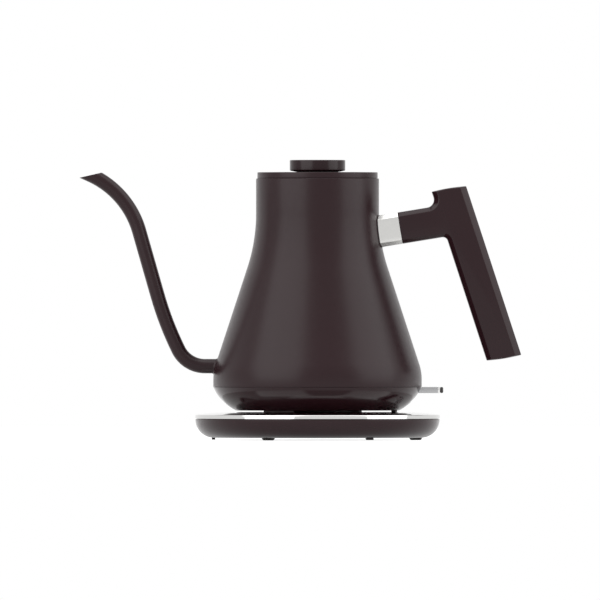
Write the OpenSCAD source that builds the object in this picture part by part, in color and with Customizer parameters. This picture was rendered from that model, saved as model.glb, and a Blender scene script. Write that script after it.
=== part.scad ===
// Gooseneck electric kettle on a round 360 degree power base.
// Origin: centre of the overall footprint on the worktop. +X towards the handle,
// -X towards the spout, +Z up. Millimetres.

/* [Power base] */
// Radius of the moulded tub
tub_r = 79.3; // [74:0.1:84]
// Height of the tub from its flat underside to its rim
tub_h = 12.1; // [10.5:0.1:16]
// Radius of the tub's rounded lower edge
tub_edge_r = 11.8; // [6:0.1:12]
// Wall of the tub
tub_wall = 2.2; // [1.6:0.1:3]
// How far the rubber feet hold the tub off the worktop
foot_drop = 1.5; // [1:0.1:3]
// Radius of a rubber foot
foot_r = 4.3; // [3:0.1:6]
// Radius of the circle that the three feet stand on
foot_circle_r = 63.8; // [56:0.1:66]
// Radius of the circle of stop ribs between the feet
stop_circle_r = 67.6; // [65.5:0.1:70]
// Clearance of the stop ribs above the worktop
stop_gap = 0.3; // [0.2:0.1:0.8]
// Thickness of the polished top plate
plate_t = 0.8; // [0.6:0.1:1.2]
// How far the plate's rim overhangs the tub
plate_overhang = 0.3; // [0.2:0.1:2]
// Height of the plate's upright rim
plate_rim_h = 2.8; // [2:0.1:4]
// Rise of the plate's shallow cone above its rim
plate_rise = 2.0; // [1:0.1:4]
// Radius of the plate's flat seat inside the cone
plate_flat_r = 57.6; // [55:0.1:68]

/* [Connector] */
// Radius of the connector's collar, which stands through the top plate
collar_r = 28.8; // [26:0.1:29.5]
// Height of the collar above the plate
collar_h = 2.2; // [1.5:0.1:2.6]
// Radius of the plug boss that enters the kettle
boss_r = 21.8; // [20:0.1:22.6]
// Height of the plug boss above the collar
boss_h = 9.7; // [8:0.1:10.4]
// Mean radius of the inner contact ring
ring_in_r = 9.5; // [9:0.1:10]
// Mean radius of the outer contact ring
ring_out_r = 15.5; // [15:0.1:16.5]
// Radial thickness of a contact ring
ring_t = 1.0; // [0.6:0.1:1.4]
// Width of the groove that a contact ring runs in
groove_w = 4.2; // [3.6:0.1:4.4]
// Radius of the centre contact pin
pin_r = 2.4; // [2:0.1:2.8]
// Radius of the bore that the centre pin enters
pin_bore_r = 3.4; // [3.3:0.1:4]

/* [Cord inlet] */
// Radius of the gland's bore for the mains lead
gland_bore_r = 3.2; // [2.8:0.1:3.4]
// Wall of the gland
gland_wall = 1.0; // [0.8:0.1:1.2]
// How far the gland stands out of the tub
gland_stand = 0.4; // [0:0.1:3]
// Length of the gland
gland_len = 13; // [10:0.5:16]

/* [Vessel] */
// Height of the vessel from the seam to its rim
vessel_h = 135.4; // [120:0.1:160]
// Outer radius of the neck
neck_r = 39.95; // [38:0.05:44]
// Outer radius of the belly
belly_r = 67.75; // [65.5:0.05:72]
// Height of the neck, down to where the cone's line meets it
neck_h = 40.6; // [34:0.1:50]
// Height above the seam where the cone's line meets the belly
belly_h = 9.9; // [9:0.1:14]
// Radius of the hollow curve between neck and cone
neck_curve_r = 114.2; // [80:0.1:150]
// Radius of the round between cone and belly
belly_curve_r = 32.6; // [25:0.1:45]
// Sheet thickness of the vessel
wall = 0.8; // [0.6:0.1:1.2]
// Radius of the mouth under the lid
mouth_r = 34; // [32:0.1:35]
// Height of the vessel's floor above the seam
floor_rise = 6.8; // [6.2:0.1:8]
// Depth of the floor's welded flange
floor_flange_h = 2.9; // [2:0.1:3.2]

/* [Spout] */
// Outer radius of the spout tube
spout_r = 4.7; // [4:0.05:5]
// Wall of the spout tube
spout_wall = 0.7; // [0.5:0.1:1]
// Height of the tube's root above the seam
spout_rise = 13.4; // [12.8:0.1:20]
// Reach of the straight root, from the kettle's axis
spout_root = 73.2; // [72:0.1:80]
// Radius of the lower bend
bend_low_r = 19.2; // [14:0.1:24]
// Turn of the lower bend
bend_low_a = 63.9; // [55:0.1:68]
// Radius of the long middle curve
bend_mid_r = 213; // [120:1:260]
// Turn of the long middle curve
bend_mid_a = 10.15; // [6:0.05:14]
// Length of the straight run below the upper bend
spout_run = 43.4; // [38:0.1:56]
// Radius of the upper bend
bend_top_r = 57.6; // [48:0.1:66]
// Turn of the upper bend, back towards level
bend_top_a = 49.7; // [40:0.1:60]
// Slope of the mouth's cut, rising towards the kettle
mouth_cut_a = 13; // [0:0.5:25]
// Reach of the mouth's tip, from the kettle's axis
spout_reach = 154.85; // [150:0.05:158]

/* [Skirt and pads] */
// Height of the lower skirt, below the seam
skirt_h = 15.35; // [14.6:0.05:18]
// Wall of the moulded skirt
skirt_wall = 2.0; // [1.6:0.1:2.6]
// Radius where the skirt's curve meets its underside
skirt_foot_r = 53.1; // [53:0.1:57]
// Radius of the skirt's one long curve in section
skirt_curve_r = 31.2; // [20:0.1:60]
// Height of the pads under the skirt
pad_h = 0.85; // [0.7:0.05:2]
// Radius of the circle of pads
pad_circle_r = 50.4; // [46:0.1:51]
// Radial width of a pad
pad_w = 2.6; // [2:0.1:4]
// Angle that one pad covers
pad_angle = 25; // [15:1:40]

/* [Heater and control] */
// Thickness of the aluminium heat spreader
spreader_t = 2.5; // [1.5:0.1:3]
// Radius of the heat spreader
spreader_r = 45; // [43:0.1:46]
// Radius of the sheathed element's tube
element_r = 3.3; // [2.8:0.1:3.4]
// Radius of the element's ring
element_ring_r = 38.6; // [38.4:0.1:41]
// Angle of the gap in the element's ring
element_gap_a = 70; // [60:1:90]
// Radius of the control's body
control_r = 27.5; // [26.6:0.1:27.8]
// Height of the control's body
control_h = 11.9; // [11:0.1:12.4]
// Outer radius of the steam tube
steam_r = 3.5; // [3:0.1:4]
// Wall of the steam tube
steam_wall = 0.4; // [0.3:0.1:0.8]
// Distance of the steam tube from the axis
steam_x = 33.5; // [33:0.1:34]
// Gap between the steam tube's top and the vessel's rim
steam_top_gap = 18; // [14:1:40]

/* [Switch lever] */
// Width of the lever's paddle
lever_w = 14; // [10:0.5:15]
// Thickness of the lever
lever_t = 3.9; // [3:0.1:4.4]
// Depth of the lever's middle below the seam
lever_drop = 2.1; // [2:0.1:2.6]
// Reach of the lever's end from the axis
lever_reach = 81.7; // [76:0.1:86]
// Length of the dark end cap
lever_cap_l = 2.1; // [1.5:0.1:5]
// Distance of the lever's pivot from the axis
lever_pivot_x = 34; // [32.5:0.1:35]
// Radius of the pivot pin
lever_pin_r = 1.2; // [1:0.1:1.5]
// Travel of the lever, from off to on
lever_travel_a = 7; // [3:0.5:7]

/* [Lid] */
// Radius of the lid
lid_r = 39.1; // [36:0.1:39.6]
// Height of the lid above the vessel's rim
lid_h = 4.0; // [3:0.1:6]
// Depth of the lid's plug below the rim
lid_plug_h = 10; // [8:0.5:12]
// Radius of the knob
knob_r = 18.05; // [14:0.05:22]
// Height of the knob
knob_h = 6.9; // [5:0.1:12]
// Gap between the lid and the knob
knob_gap = 1.1; // [0.8:0.1:3]
// Radius of the spacer under the knob
spacer_r = 15.4; // [8:0.1:16.5]

/* [Handle] */
// Distance from the axis to the joint between collar and grip
arm_joint_x = 53.6; // [51:0.1:58]
// Height of that joint's middle above the seam
arm_joint_rise = 103.1; // [100:0.1:108]
// Rise of the arm towards the grip
arm_a = 9.3; // [4:0.1:14]
// Height of the arm and of its collar, across the flats
arm_h = 20.65; // [18:0.05:22]
// Depth of the handle from front to back
handle_d = 22; // [18:0.5:26]
// Chamfer along the arm and the collar
arm_chamfer = 2.8; // [1.5:0.1:4]
// Length of the arm from the joint to the grip's middle line
arm_len = 38.6; // [34:0.1:48]
// Lean of the grip away from the kettle
grip_a = 18; // [8:0.5:24]
// Width of the grip in side view
grip_w = 22.5; // [18:0.1:26]
// Chamfer on the grip's outer edges, in side view
grip_chamfer_out = 4.1; // [3:0.1:7]
// Chamfer on the grip's inner edges, in side view
grip_chamfer_in = 3.3; // [2:0.1:5]
// Length of the grip above the arm's middle line
grip_up = 20.8; // [16:0.1:28]
// Length of the grip below the arm's middle line
grip_down = 95.7; // [70:0.1:110]
// Radius of the crown across the grip's two ends
grip_crown_r = 117; // [60:1:400]
// Radius of the hollow above the arm
horn_fillet_r = 5.2; // [3:0.1:6]
// Radius of the hollow below the arm
crook_fillet_r = 3.2; // [2:0.1:6]
// Wall of the polished collar
sleeve_wall = 1.6; // [1:0.1:2.4]
// Thickness of the gasket between collar and vessel
gasket_t = 0.8; // [0.5:0.1:1.2]

/* [Clearances] */
// Gap between kettle and base where the kettle sits down
seat_gap = 0.05; // [0.03:0.01:0.1]
// Gap between parts that are slid together by hand
slip_gap = 0.2; // [0.1:0.05:0.3]
// Radial clearance of a running pivot
run_gap = 0.05; // [0.02:0.01:0.08]
// Height of the shadow gap at the seam
seam_gap = 0.3; // [0.2:0.05:0.5]
// Gap between a small fixed piece and the bore or wall that it sits in
fit_gap = 0.1; // [0.05:0.01:0.2]

/* [Hidden] */
$fn = 96;
EPS = 0.01;
SMALL_FN = 48;

PAINT = [0.20, 0.16, 0.165];
DARK = [0.12, 0.10, 0.10];
STEEL = [0.80, 0.80, 0.79];
RUBBER = [0.15, 0.14, 0.14];
COPPER = [0.78, 0.52, 0.32];
BRONZE = [0.75, 0.60, 0.36];

// Levels, from the worktop up.
tub_z = foot_drop;
tub_rim_z = tub_z + tub_h;
plate_rim_z = tub_rim_z + plate_rim_h;
seat_z = plate_rim_z + plate_rise;
pad_z = seat_z + seat_gap;
skirt_z = pad_z + pad_h - seat_gap;
seam_z = skirt_z + skirt_h;
rim_z = seam_z + vessel_h;
lid_top_z = rim_z + lid_h;
knob_z = lid_top_z + knob_gap;
floor_z = seam_z + floor_rise;
spreader_z = floor_z - wall - spreader_t;
element_z = spreader_z - element_r;

// Vessel outline, derived.
neck_corner_z = rim_z - neck_h;
belly_corner_z = seam_z + belly_h;
cone_a = atan((belly_r - neck_r) / (neck_corner_z - belly_corner_z));
neck_curve_z = neck_corner_z + neck_curve_r * tan(cone_a / 2);
belly_curve_z = belly_corner_z - belly_curve_r * tan(cone_a / 2);
inner_r = belly_r - wall;

// Skirt outline, derived: one arc from the seam to the underside, its centre inside the vessel.
skirt_top_z = seam_z - seam_gap;
skirt_chord = norm([belly_r - skirt_foot_r, skirt_top_z - skirt_z]);
skirt_bow = sqrt(pow(skirt_curve_r, 2) - pow(skirt_chord / 2, 2)) / skirt_chord;
skirt_centre = [(belly_r + skirt_foot_r) / 2 - (skirt_top_z - skirt_z) * skirt_bow,
                (skirt_top_z + skirt_z) / 2 + (belly_r - skirt_foot_r) * skirt_bow];

// Connector levels, derived.
collar_z = seat_z + collar_h;
boss_z = collar_z + boss_h;
control_gap = 1.0;
control_z = collar_z + control_gap;
control_top_z = control_z + control_h;
socket_roof_z = boss_z + control_gap;
socket_r = boss_r + control_gap;
ring_foot_z = collar_z + 2;
groove_floor_z = collar_z + 0.9;
control_ear_x = 31;
control_ear_r = 3.4;
control_ear_t = 4;
control_ear_z = control_top_z - control_ear_t;
control_web_l = 9;
control_web_w = 4.4;
control_ears = [60, 180, 300];
control_screw_r = 1.5;
screw_gap = 0.1;
weld_gap = 0.05;
knob_screw_r = 1.5;

// Lever levels, derived.
lever_z = seam_z - lever_drop;
lever_hub_r = 3.1;
lever_hub_w = lever_w + 1.2;
lever_ear_t = 2;
lever_slot_gap = 0.8;

// Handle frame, derived: the arm's axis starts at the joint.
arm_joint_z = seam_z + arm_joint_rise;
lean_a = grip_a - arm_a;
grip_x = arm_joint_x + arm_len * cos(arm_a);
grip_z = arm_joint_z + arm_len * sin(arm_a);
sleeve_back = arm_joint_x / 2;
bracket_gap = 4;
tang_t = 7;
tang_w = 9;
tang_drop = 56;
tang_plate_t = 3;
tang_plate_h = arm_h - 2 * (sleeve_wall + 1);
handle_screw_r = 1.9;
handle_screw_pitch = 12;

// Footprint: the spout's tip and the grip's heel reach equally far from the origin.
grip_end_w = grip_w / cos(lean_a);
grip_crown_h = grip_crown_r - sqrt(pow(grip_crown_r, 2) - pow(grip_end_w / 2, 2));
heel_down = grip_down + (grip_w / 2) * tan(lean_a) - grip_crown_h / cos(lean_a);
heel_x = grip_x + heel_down * sin(grip_a) + (grip_w / 2) * cos(grip_a);
axis_x = (spout_reach - heel_x) / 2;

// Points on an arc, by centre, radius and the angles of its ends.
function arc(cx, cz, r, a0, a1, n) =
    [for (i = [0:n]) [cx + r * cos(a0 + (a1 - a0) * i / n), cz + r * sin(a0 + (a1 - a0) * i / n)]];

// The vessel's outline from rim to seam, moved inwards by t.
function vessel_line(t, top) = concat(
    [[neck_r - t, top]],
    arc(neck_r + neck_curve_r, neck_curve_z, neck_curve_r + t, 180, 180 + cone_a, 10),
    arc(belly_r - belly_curve_r, belly_curve_z, belly_curve_r - t, cone_a, 0, 8),
    [[belly_r - t, seam_z]]);

// The skirt's outline from its top down to the height z, moved inwards by t.
function skirt_line(t, z) = arc(
    skirt_centre[0], skirt_centre[1], skirt_curve_r - t,
    -asin((skirt_centre[1] - skirt_top_z) / (skirt_curve_r - t)),
    -asin((skirt_centre[1] - z) / (skirt_curve_r - t)), 12);

// A list of points in reverse order.
function flip(p) = [for (i = [len(p) - 1:-1:0]) p[i]];

// Puts a piece on the kettle's axis.
module on_axis() {
    translate([axis_x, 0, 0]) children();
}

// A ring or disc between two radii.
module ring(r_out, r_in, z0, z1) {
    translate([0, 0, z0])
        difference() {
            cylinder(r = r_out, h = z1 - z0);
            translate([0, 0, -EPS]) cylinder(r = r_in, h = z1 - z0 + 2 * EPS);
        }
}

module disc(r, z0, z1) {
    translate([0, 0, z0]) cylinder(r = r, h = z1 - z0);
}

// A pan-head screw standing on z = 0 with its shank upwards.
module screw(shank_r, shank_l, head_r, head_h) {
    slot_w = 0.8;
    difference() {
        union() {
            translate([0, 0, -head_h]) cylinder(r = head_r, h = head_h, $fn = SMALL_FN);
            cylinder(r = shank_r, h = shank_l, $fn = SMALL_FN);
        }
        for (turn = [0, 90])
            rotate([0, 0, turn])
                translate([-head_r * 0.6, -slot_w / 2, -head_h - EPS])
                    cube([head_r * 1.2, slot_w, head_h * 0.6]);
    }
}

// ---------------------------------------------------------------- power base

// The lower edge's round ends below the tub's rim.
tub_round_r = min(tub_edge_r, tub_h - 0.2);

// The tub's outline, moved inwards by t.
function tub_line(t) = concat(
    [[0, tub_z + t]],
    arc(tub_r - tub_round_r, tub_z + tub_round_r, tub_round_r - t, -90, 0, 12));

module tub_solid(t, top) {
    rotate_extrude() polygon(concat(tub_line(t), [[tub_r - t, top], [0, top]]));
}

plate_r = tub_r + plate_overhang;
lip_r = plate_r - plate_t - slip_gap;
lip_h = 1.4;
lip_t = 1.5;
foot_a = [0, 120, 240];
stop_a = [60, 180, 300];
stop_rib = [2.3, 4.7];
screw_circle_r = 58;
base_screw_r = 1.5;
base_head_r = 2.7;
base_head_h = 1.2;
base_head_z = tub_z + base_head_h + 0.4;
base_post_r = 3.4;
gland_r = gland_bore_r + gland_wall;
gland_z = tub_z + tub_wall + gland_r + 0.3;
post_top_z = plate_rim_z - plate_t;

module base_tub() {
    color(PAINT) on_axis() difference() {
        union() {
            rotate_extrude() polygon(concat(
                tub_line(0),
                [[tub_r, tub_rim_z], [lip_r, tub_rim_z + EPS], [lip_r, tub_rim_z + lip_h],
                 [lip_r - lip_t, tub_rim_z + lip_h], [tub_r - tub_wall, tub_rim_z - EPS]],
                flip(tub_line(tub_wall))));
            for (a = stop_a)
                rotate([0, 0, a])
                    translate([stop_circle_r - stop_rib[0] / 2, -stop_rib[1] / 2, stop_gap])
                        cube([stop_rib[0], stop_rib[1], tub_z - stop_gap + tub_wall / 2]);
            for (a = stop_a)
                rotate([0, 0, a]) translate([screw_circle_r, 0, 0])
                    disc(base_post_r, tub_z + tub_wall / 2, post_top_z);
        }
        for (a = stop_a)
            rotate([0, 0, a]) translate([screw_circle_r, 0, 0]) {
                disc(base_screw_r + screw_gap, 0, post_top_z + 1, $fn = SMALL_FN);
                disc(base_head_r + screw_gap, 0, base_head_z, $fn = SMALL_FN);
            }
        translate([0, 0, gland_z]) rotate([-90, 0, 0])
            cylinder(r = gland_r + fit_gap, h = tub_r + 5, $fn = SMALL_FN);
    }
}

module base_plate() {
    hole_r = collar_r + slip_gap;
    edge = 0.5;
    color(STEEL) on_axis() rotate_extrude() polygon([
        [hole_r, seat_z - plate_t], [plate_flat_r, seat_z - plate_t],
        [plate_r - plate_t, plate_rim_z - plate_t], [plate_r - plate_t, tub_rim_z],
        [plate_r, tub_rim_z], [plate_r, plate_rim_z - edge], [plate_r - edge, plate_rim_z],
        [plate_flat_r, seat_z], [hole_r, seat_z]]);
}

housing_r = 24;
housing_z = tub_z + tub_wall;
housing_flange_r = 33;
housing_flange_t = 1.6;

module plug_housing() {
    edge = 1.2;
    color(DARK) on_axis() difference() {
        union() {
            disc(housing_r, housing_z, seat_z);
            disc(housing_flange_r, seat_z - plate_t - housing_flange_t, seat_z - plate_t);
            disc(collar_r, seat_z - plate_t - EPS, collar_z);
            rotate_extrude() polygon([
                [0, collar_z - 1], [boss_r, collar_z - 1], [boss_r, boss_z - edge],
                [boss_r - edge, boss_z], [0, boss_z]]);
        }
        disc(pin_bore_r, groove_floor_z - 3, boss_z + 1, $fn = SMALL_FN);
        for (r = [ring_in_r, ring_out_r])
            ring(r + groove_w / 2, r - groove_w / 2, groove_floor_z, boss_z + 1);
        ring(housing_r - 2.4, 0.5, housing_z - 1, housing_z + 6);
    }
}

// Sprung contact strips: two in the grooves and a split tube round the pin's bore.
module plug_contacts() {
    strip_t = 0.5;
    strip_h = boss_h - 2.4;
    color(BRONZE) on_axis() {
        for (r = [ring_in_r, ring_out_r])
            for (turn = [20, 140, 260])
                rotate([0, 0, turn]) translate([0, 0, groove_floor_z])
                    rotate_extrude(angle = 50)
                        translate([r - groove_w / 2 + fit_gap, 0]) square([strip_t, strip_h]);
        ring(pin_bore_r - fit_gap, pin_bore_r - fit_gap - strip_t, groove_floor_z - 3,
             groove_floor_z + 3, $fn = SMALL_FN);
    }
}

module base_feet() {
    flare = foot_drop - 0.2;
    color(RUBBER) on_axis() difference() {
        for (a = foot_a)
            rotate([0, 0, a]) translate([foot_circle_r, 0, 0])
                rotate_extrude($fn = SMALL_FN) polygon([
                    [0, 0], [foot_r - flare, 0], [foot_r, flare],
                    [foot_r, tub_z + tub_round_r], [0, tub_z + tub_round_r]]);
        tub_solid(0, tub_rim_z);
    }
}

module base_screws() {
    color(STEEL) on_axis()
        for (a = stop_a)
            rotate([0, 0, a]) translate([screw_circle_r, 0, base_head_z])
                screw(base_screw_r, post_top_z - base_head_z - 0.8, base_head_r, base_head_h);
}

gland_end_y = tub_r + gland_stand;

module cord_gland() {
    flange_r = gland_r + 0.9;
    flange_t = 1.2;
    color(RUBBER) on_axis() difference() {
        union() {
            translate([0, gland_end_y - gland_len, gland_z]) rotate([-90, 0, 0])
                cylinder(r = gland_r, h = gland_len, $fn = SMALL_FN);
            intersection() {
                translate([0, gland_end_y - gland_len, gland_z]) rotate([-90, 0, 0])
                    cylinder(r = flange_r, h = flange_t, $fn = SMALL_FN);
                disc(tub_r, tub_z + tub_wall + slip_gap, plate_rim_z);
            }
        }
        translate([0, gland_end_y - gland_len - 1, gland_z]) rotate([-90, 0, 0])
            cylinder(r = gland_bore_r, h = gland_len + 2, $fn = SMALL_FN);
    }
}

clamp_y = 46;
clamp_w = 18;
clamp_l = 6;
clamp_h = 3;

module cord_clamp() {
    color(DARK) on_axis()
        translate([-clamp_w / 2, clamp_y - clamp_l / 2, housing_z])
            difference() {
                cube([clamp_w, clamp_l, clamp_h]);
                translate([clamp_w / 2, -1, clamp_h + gland_bore_r * 0.4])
                    rotate([-90, 0, 0]) cylinder(r = gland_bore_r, h = clamp_l + 2, $fn = SMALL_FN);
                for (x = [3, clamp_w - 3])
                    translate([x, clamp_l / 2, -1]) cylinder(r = 1.1, h = clamp_h + 2, $fn = SMALL_FN);
            }
}

module terminal_block() {
    block = [24, 9, 7];
    color([0.85, 0.84, 0.80]) on_axis()
        translate([-block[0] / 2, housing_r + 5.5, housing_z])
            difference() {
                cube(block);
                for (i = [0:2])
                    translate([4 + 8 * i, block[1] / 2, 2]) cylinder(r = 1.6, h = block[2], $fn = SMALL_FN);
            }
}

// ------------------------------------------------------------ kettle: vessel

module vessel_solid(grow) {
    rotate_extrude() polygon(concat(
        [[0, rim_z + 1]], vessel_line(-grow, rim_z + 1), [[0, seam_z]]));
}

module vessel_shell() {
    edge = 0.6;
    outer = vessel_line(0, rim_z - edge);
    inner = vessel_line(wall, rim_z - wall);
    color(PAINT) on_axis() difference() {
        rotate_extrude() polygon(concat(
            [[mouth_r, rim_z], [neck_r - edge, rim_z]], outer, flip(inner),
            [[mouth_r, rim_z - wall]]));
        translate([-belly_r - 5, 0, seam_z + spout_rise]) rotate([0, 90, 0])
            cylinder(r = spout_r + weld_gap, h = belly_r, $fn = SMALL_FN);
    }
}

// The floor fits the vessel where the belly's round has begun to draw in.
floor_lift = max(0, floor_z - belly_curve_z);
belly_in_r = belly_curve_r - wall;
floor_r = inner_r - weld_gap - belly_in_r + sqrt(pow(belly_in_r, 2) - pow(floor_lift, 2));
skirt_boss_h = 3;

module vessel_floor() {
    color(STEEL) on_axis() difference() {
        union() {
            disc(floor_r, floor_z - wall, floor_z);
            ring(floor_r, floor_r - wall, floor_z - floor_flange_h, floor_z);
            for (a = skirt_post_a)
                rotate([0, 0, a]) translate([skirt_post_x, 0, 0])
                    disc(skirt_post_r, floor_z - wall - skirt_boss_h, floor_z, $fn = SMALL_FN);
        }
        for (a = skirt_post_a)
            rotate([0, 0, a]) translate([skirt_post_x, 0, 0])
                disc(skirt_screw_r + screw_gap, floor_z - wall - skirt_boss_h - 1,
                     floor_z - wall, $fn = SMALL_FN);
        translate([steam_x, 0, 0]) disc(grommet_r, floor_z - 5, floor_z + 5, $fn = SMALL_FN);
    }
}

// ------------------------------------------------------------- kettle: spout

SPOUT_SIDES = 28;
LOW_STEPS = 10;
MID_STEPS = 3;
TOP_STEPS = 14;
spout_z = seam_z + spout_rise;
spout_stub = 1;
// The tube ends just inside the cone's wall, at the height of the tube's top.
spout_start = belly_r - (spout_z + spout_r - belly_corner_z) * tan(cone_a) - wall / cos(cone_a)
              - spout_stub;

// A station on the spout's middle line: distance out, height, heading.
station_a = [spout_root, spout_z, 0];
station_b = turn_up(station_a, bend_low_r, bend_low_a);
station_c = turn_up(station_b, bend_mid_r, bend_mid_a);
station_d = go_on(station_c, spout_run);
heading_d = station_d[2];
// Centre of the upper bend, which turns back towards level.
top_centre = [station_d[0] + bend_top_r * sin(heading_d),
              station_d[1] - bend_top_r * cos(heading_d)];

function go_on(s, l) = [s[0] + l * cos(s[2]), s[1] + l * sin(s[2]), s[2]];
function turn_up(s, r, a) = [
    s[0] + r * (sin(s[2] + a) - sin(s[2])),
    s[1] + r * (cos(s[2]) - cos(s[2] + a)),
    s[2] + a];

// The bend's two ends, as angles about its centre, and the heading that it ends on.
bend_start_a = heading_d + 90;
bend_end_a = bend_start_a - bend_top_a;
heading_e = heading_d - bend_top_a;
way_out = [cos(heading_e), sin(heading_e)];

// The mouth's plane passes through the tip, where the tube's outermost line ends at spout_reach.
cut_n = [sin(mouth_cut_a), cos(mouth_cut_a)];
tip_foot = bend_point(bend_top_r - spout_r, bend_end_a);
tip = tip_foot + way_out * (spout_reach - tip_foot[0]) / way_out[0];
cut_d = tip * cut_n;

// A point of the upper bend at radius g and angle a about its centre.
function bend_point(g, a) = top_centre + g * [cos(a), sin(a)];

// How far past the bend a line at radius g runs straight on to the mouth: negative if it is cut
// within the bend.
function run_past(g) = (cut_d - bend_point(g, bend_end_a) * cut_n) / (way_out * cut_n);

// Angle about the bend's centre at which the line at radius g meets the mouth's plane.
function cut_at(g) = 90 - mouth_cut_a + acos((cut_d - top_centre * cut_n) / g);

// Length of the line at radius g from the bend's start to the mouth, and that of its bent part.
function bent_length(g) = g * bend_top_a * PI / 180;
function line_length(g) = run_past(g) > 0 ? bent_length(g) + run_past(g)
    : g * (bend_start_a - cut_at(g)) * PI / 180;

// The point at length l along the line at radius g.
function line_point(g, l) = l < bent_length(g)
    ? bend_point(g, bend_start_a - l / g * 180 / PI)
    : bend_point(g, bend_end_a) + way_out * (l - bent_length(g));

// A ring's point: v is the angle round the tube, r the tube's radius there.
function ring_point(s, r, v) = [
    -(s[0] - r * cos(v) * sin(s[2])), r * sin(v), s[1] + r * cos(v) * cos(s[2])];

// A point of the tube above the straight run, the fraction f of the way to the mouth's plane.
function top_point(f, r, v) =
    let (g = bend_top_r + r * cos(v), p = line_point(g, line_length(g) * f))
    [-p[0], r * sin(v), p[1]];

function tube_skin(r) = concat(
    [for (j = [0:SPOUT_SIDES - 1])
        ring_point([spout_start, spout_z, 0], r, 360 * j / SPOUT_SIDES)],
    [for (i = [0:LOW_STEPS], j = [0:SPOUT_SIDES - 1])
        ring_point(turn_up(station_a, bend_low_r, bend_low_a * i / LOW_STEPS), r,
                   360 * j / SPOUT_SIDES)],
    [for (i = [1:MID_STEPS], j = [0:SPOUT_SIDES - 1])
        ring_point(turn_up(station_b, bend_mid_r, bend_mid_a * i / MID_STEPS), r,
                   360 * j / SPOUT_SIDES)],
    [for (i = [0:TOP_STEPS], j = [0:SPOUT_SIDES - 1])
        top_point(i / TOP_STEPS, r, 360 * j / SPOUT_SIDES)]);

function skin_faces(rings, first, inside) =
    [for (i = [0:rings - 2], j = [0:SPOUT_SIDES - 1], half = [0, 1])
        let (k = (j + 1) % SPOUT_SIDES,
             a = first + i * SPOUT_SIDES + j,
             b = first + i * SPOUT_SIDES + k,
             c = first + (i + 1) * SPOUT_SIDES + k,
             d = first + (i + 1) * SPOUT_SIDES + j,
             tri = half == 0 ? [a, b, c] : [a, c, d])
        inside ? [tri[2], tri[1], tri[0]] : tri];

function end_faces(outer, inner, back) =
    [for (j = [0:SPOUT_SIDES - 1], half = [0, 1])
        let (k = (j + 1) % SPOUT_SIDES,
             tri = half == 0 ? [outer + j, outer + k, inner + k]
                             : [outer + j, inner + k, inner + j])
        back ? [tri[2], tri[1], tri[0]] : tri];

module spout() {
    outer = tube_skin(spout_r);
    inner = tube_skin(spout_r - spout_wall);
    rings = len(outer) / SPOUT_SIDES;
    n = len(outer);
    last = (rings - 1) * SPOUT_SIDES;
    color(PAINT) on_axis() polyhedron(
        points = concat(outer, inner),
        faces = concat(skin_faces(rings, 0, false), skin_faces(rings, n, true),
                       end_faces(0, n, true), end_faces(last, n + last, false)),
        convexity = 6);
}

// -------------------------------------------------- kettle: heater and control

module heat_spreader() {
    notch = 2 * steam_r + 4;
    color([0.72, 0.73, 0.74]) on_axis() difference() {
        disc(spreader_r, spreader_z, floor_z - wall);
        translate([steam_x - notch / 2, -notch / 2, spreader_z - 1])
            cube([spreader_r, notch, spreader_t + 2]);
        for (a = control_ears)
            rotate([0, 0, a]) translate([control_ear_x, 0, 0])
                disc(control_screw_r + screw_gap, spreader_z - 1, floor_z, $fn = SMALL_FN);
    }
}

module heating_element() {
    color([0.55, 0.54, 0.53]) on_axis()
        rotate([0, 0, element_gap_a / 2]) translate([0, 0, element_z])
            rotate_extrude(angle = 360 - element_gap_a)
                translate([element_ring_r, 0]) circle(r = element_r, $fn = SMALL_FN);
}

// Cold pins that come straight out of the element's two ends.
module element_terminals() {
    pin_l = 6;
    color(STEEL) on_axis()
        for (side = [-1, 1])
            rotate([0, 0, side * element_gap_a / 2])
                translate([element_ring_r, 0, element_z]) rotate([side * 90, 0, 0])
                    cylinder(r = 1.3, h = pin_l, $fn = SMALL_FN);
}

bimetal_t = 0.4;
bimetal_r = 9.5;
trip_r = 1.2;
trip_hole_z = control_top_z - 1.2;

module bimetal_disc() {
    color(BRONZE) on_axis() disc(bimetal_r, spreader_z - bimetal_t, spreader_z);
}

module trip_pin() {
    color([0.92, 0.90, 0.84]) on_axis() translate([trip_x, 0, 0])
        disc(trip_r, trip_hole_z, spreader_z - bimetal_t, $fn = SMALL_FN);
}
trip_x = 6;

module control_body() {
    color(DARK) on_axis() difference() {
        union() {
            disc(control_r, control_z, control_top_z);
            for (a = control_ears)
                rotate([0, 0, a]) {
                    translate([control_ear_x, 0, 0])
                        disc(control_ear_r, control_ear_z, spreader_z, $fn = SMALL_FN);
                    translate([control_ear_x - control_web_l, -control_web_w / 2, control_ear_z])
                        cube([control_web_l, control_web_w, control_ear_t]);
                }
            for (side = [-1, 1])
                translate([control_r - 4, side * (lever_hub_w / 2 + slip_gap + lever_ear_t / 2)
                           - lever_ear_t / 2, lever_z - lever_hub_r])
                    cube([lever_pivot_x - control_r + 4 + lever_hub_r, lever_ear_t,
                          lever_hub_r * 2]);
        }
        disc(socket_r, control_z - 1, socket_roof_z);
        disc(pin_r - 0.4 + run_gap, socket_roof_z - 1, control_top_z + 1, $fn = SMALL_FN);
        translate([trip_x, 0, 0])
            disc(trip_r, trip_hole_z, control_top_z + 1, $fn = SMALL_FN);
        for (a = control_ears)
            rotate([0, 0, a]) translate([control_ear_x, 0, 0])
                disc(control_screw_r + screw_gap, spreader_z - 20, spreader_z + 1,
                     $fn = SMALL_FN);
        translate([lever_pivot_x, control_r, lever_z]) rotate([90, 0, 0])
            cylinder(r = lever_pin_r, h = 2 * control_r, $fn = SMALL_FN);
    }
}

module contact_rings() {
    color(COPPER) on_axis()
        for (r = [ring_in_r, ring_out_r])
            ring(r + ring_t / 2, r - ring_t / 2, ring_foot_z, socket_roof_z);
}

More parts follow.
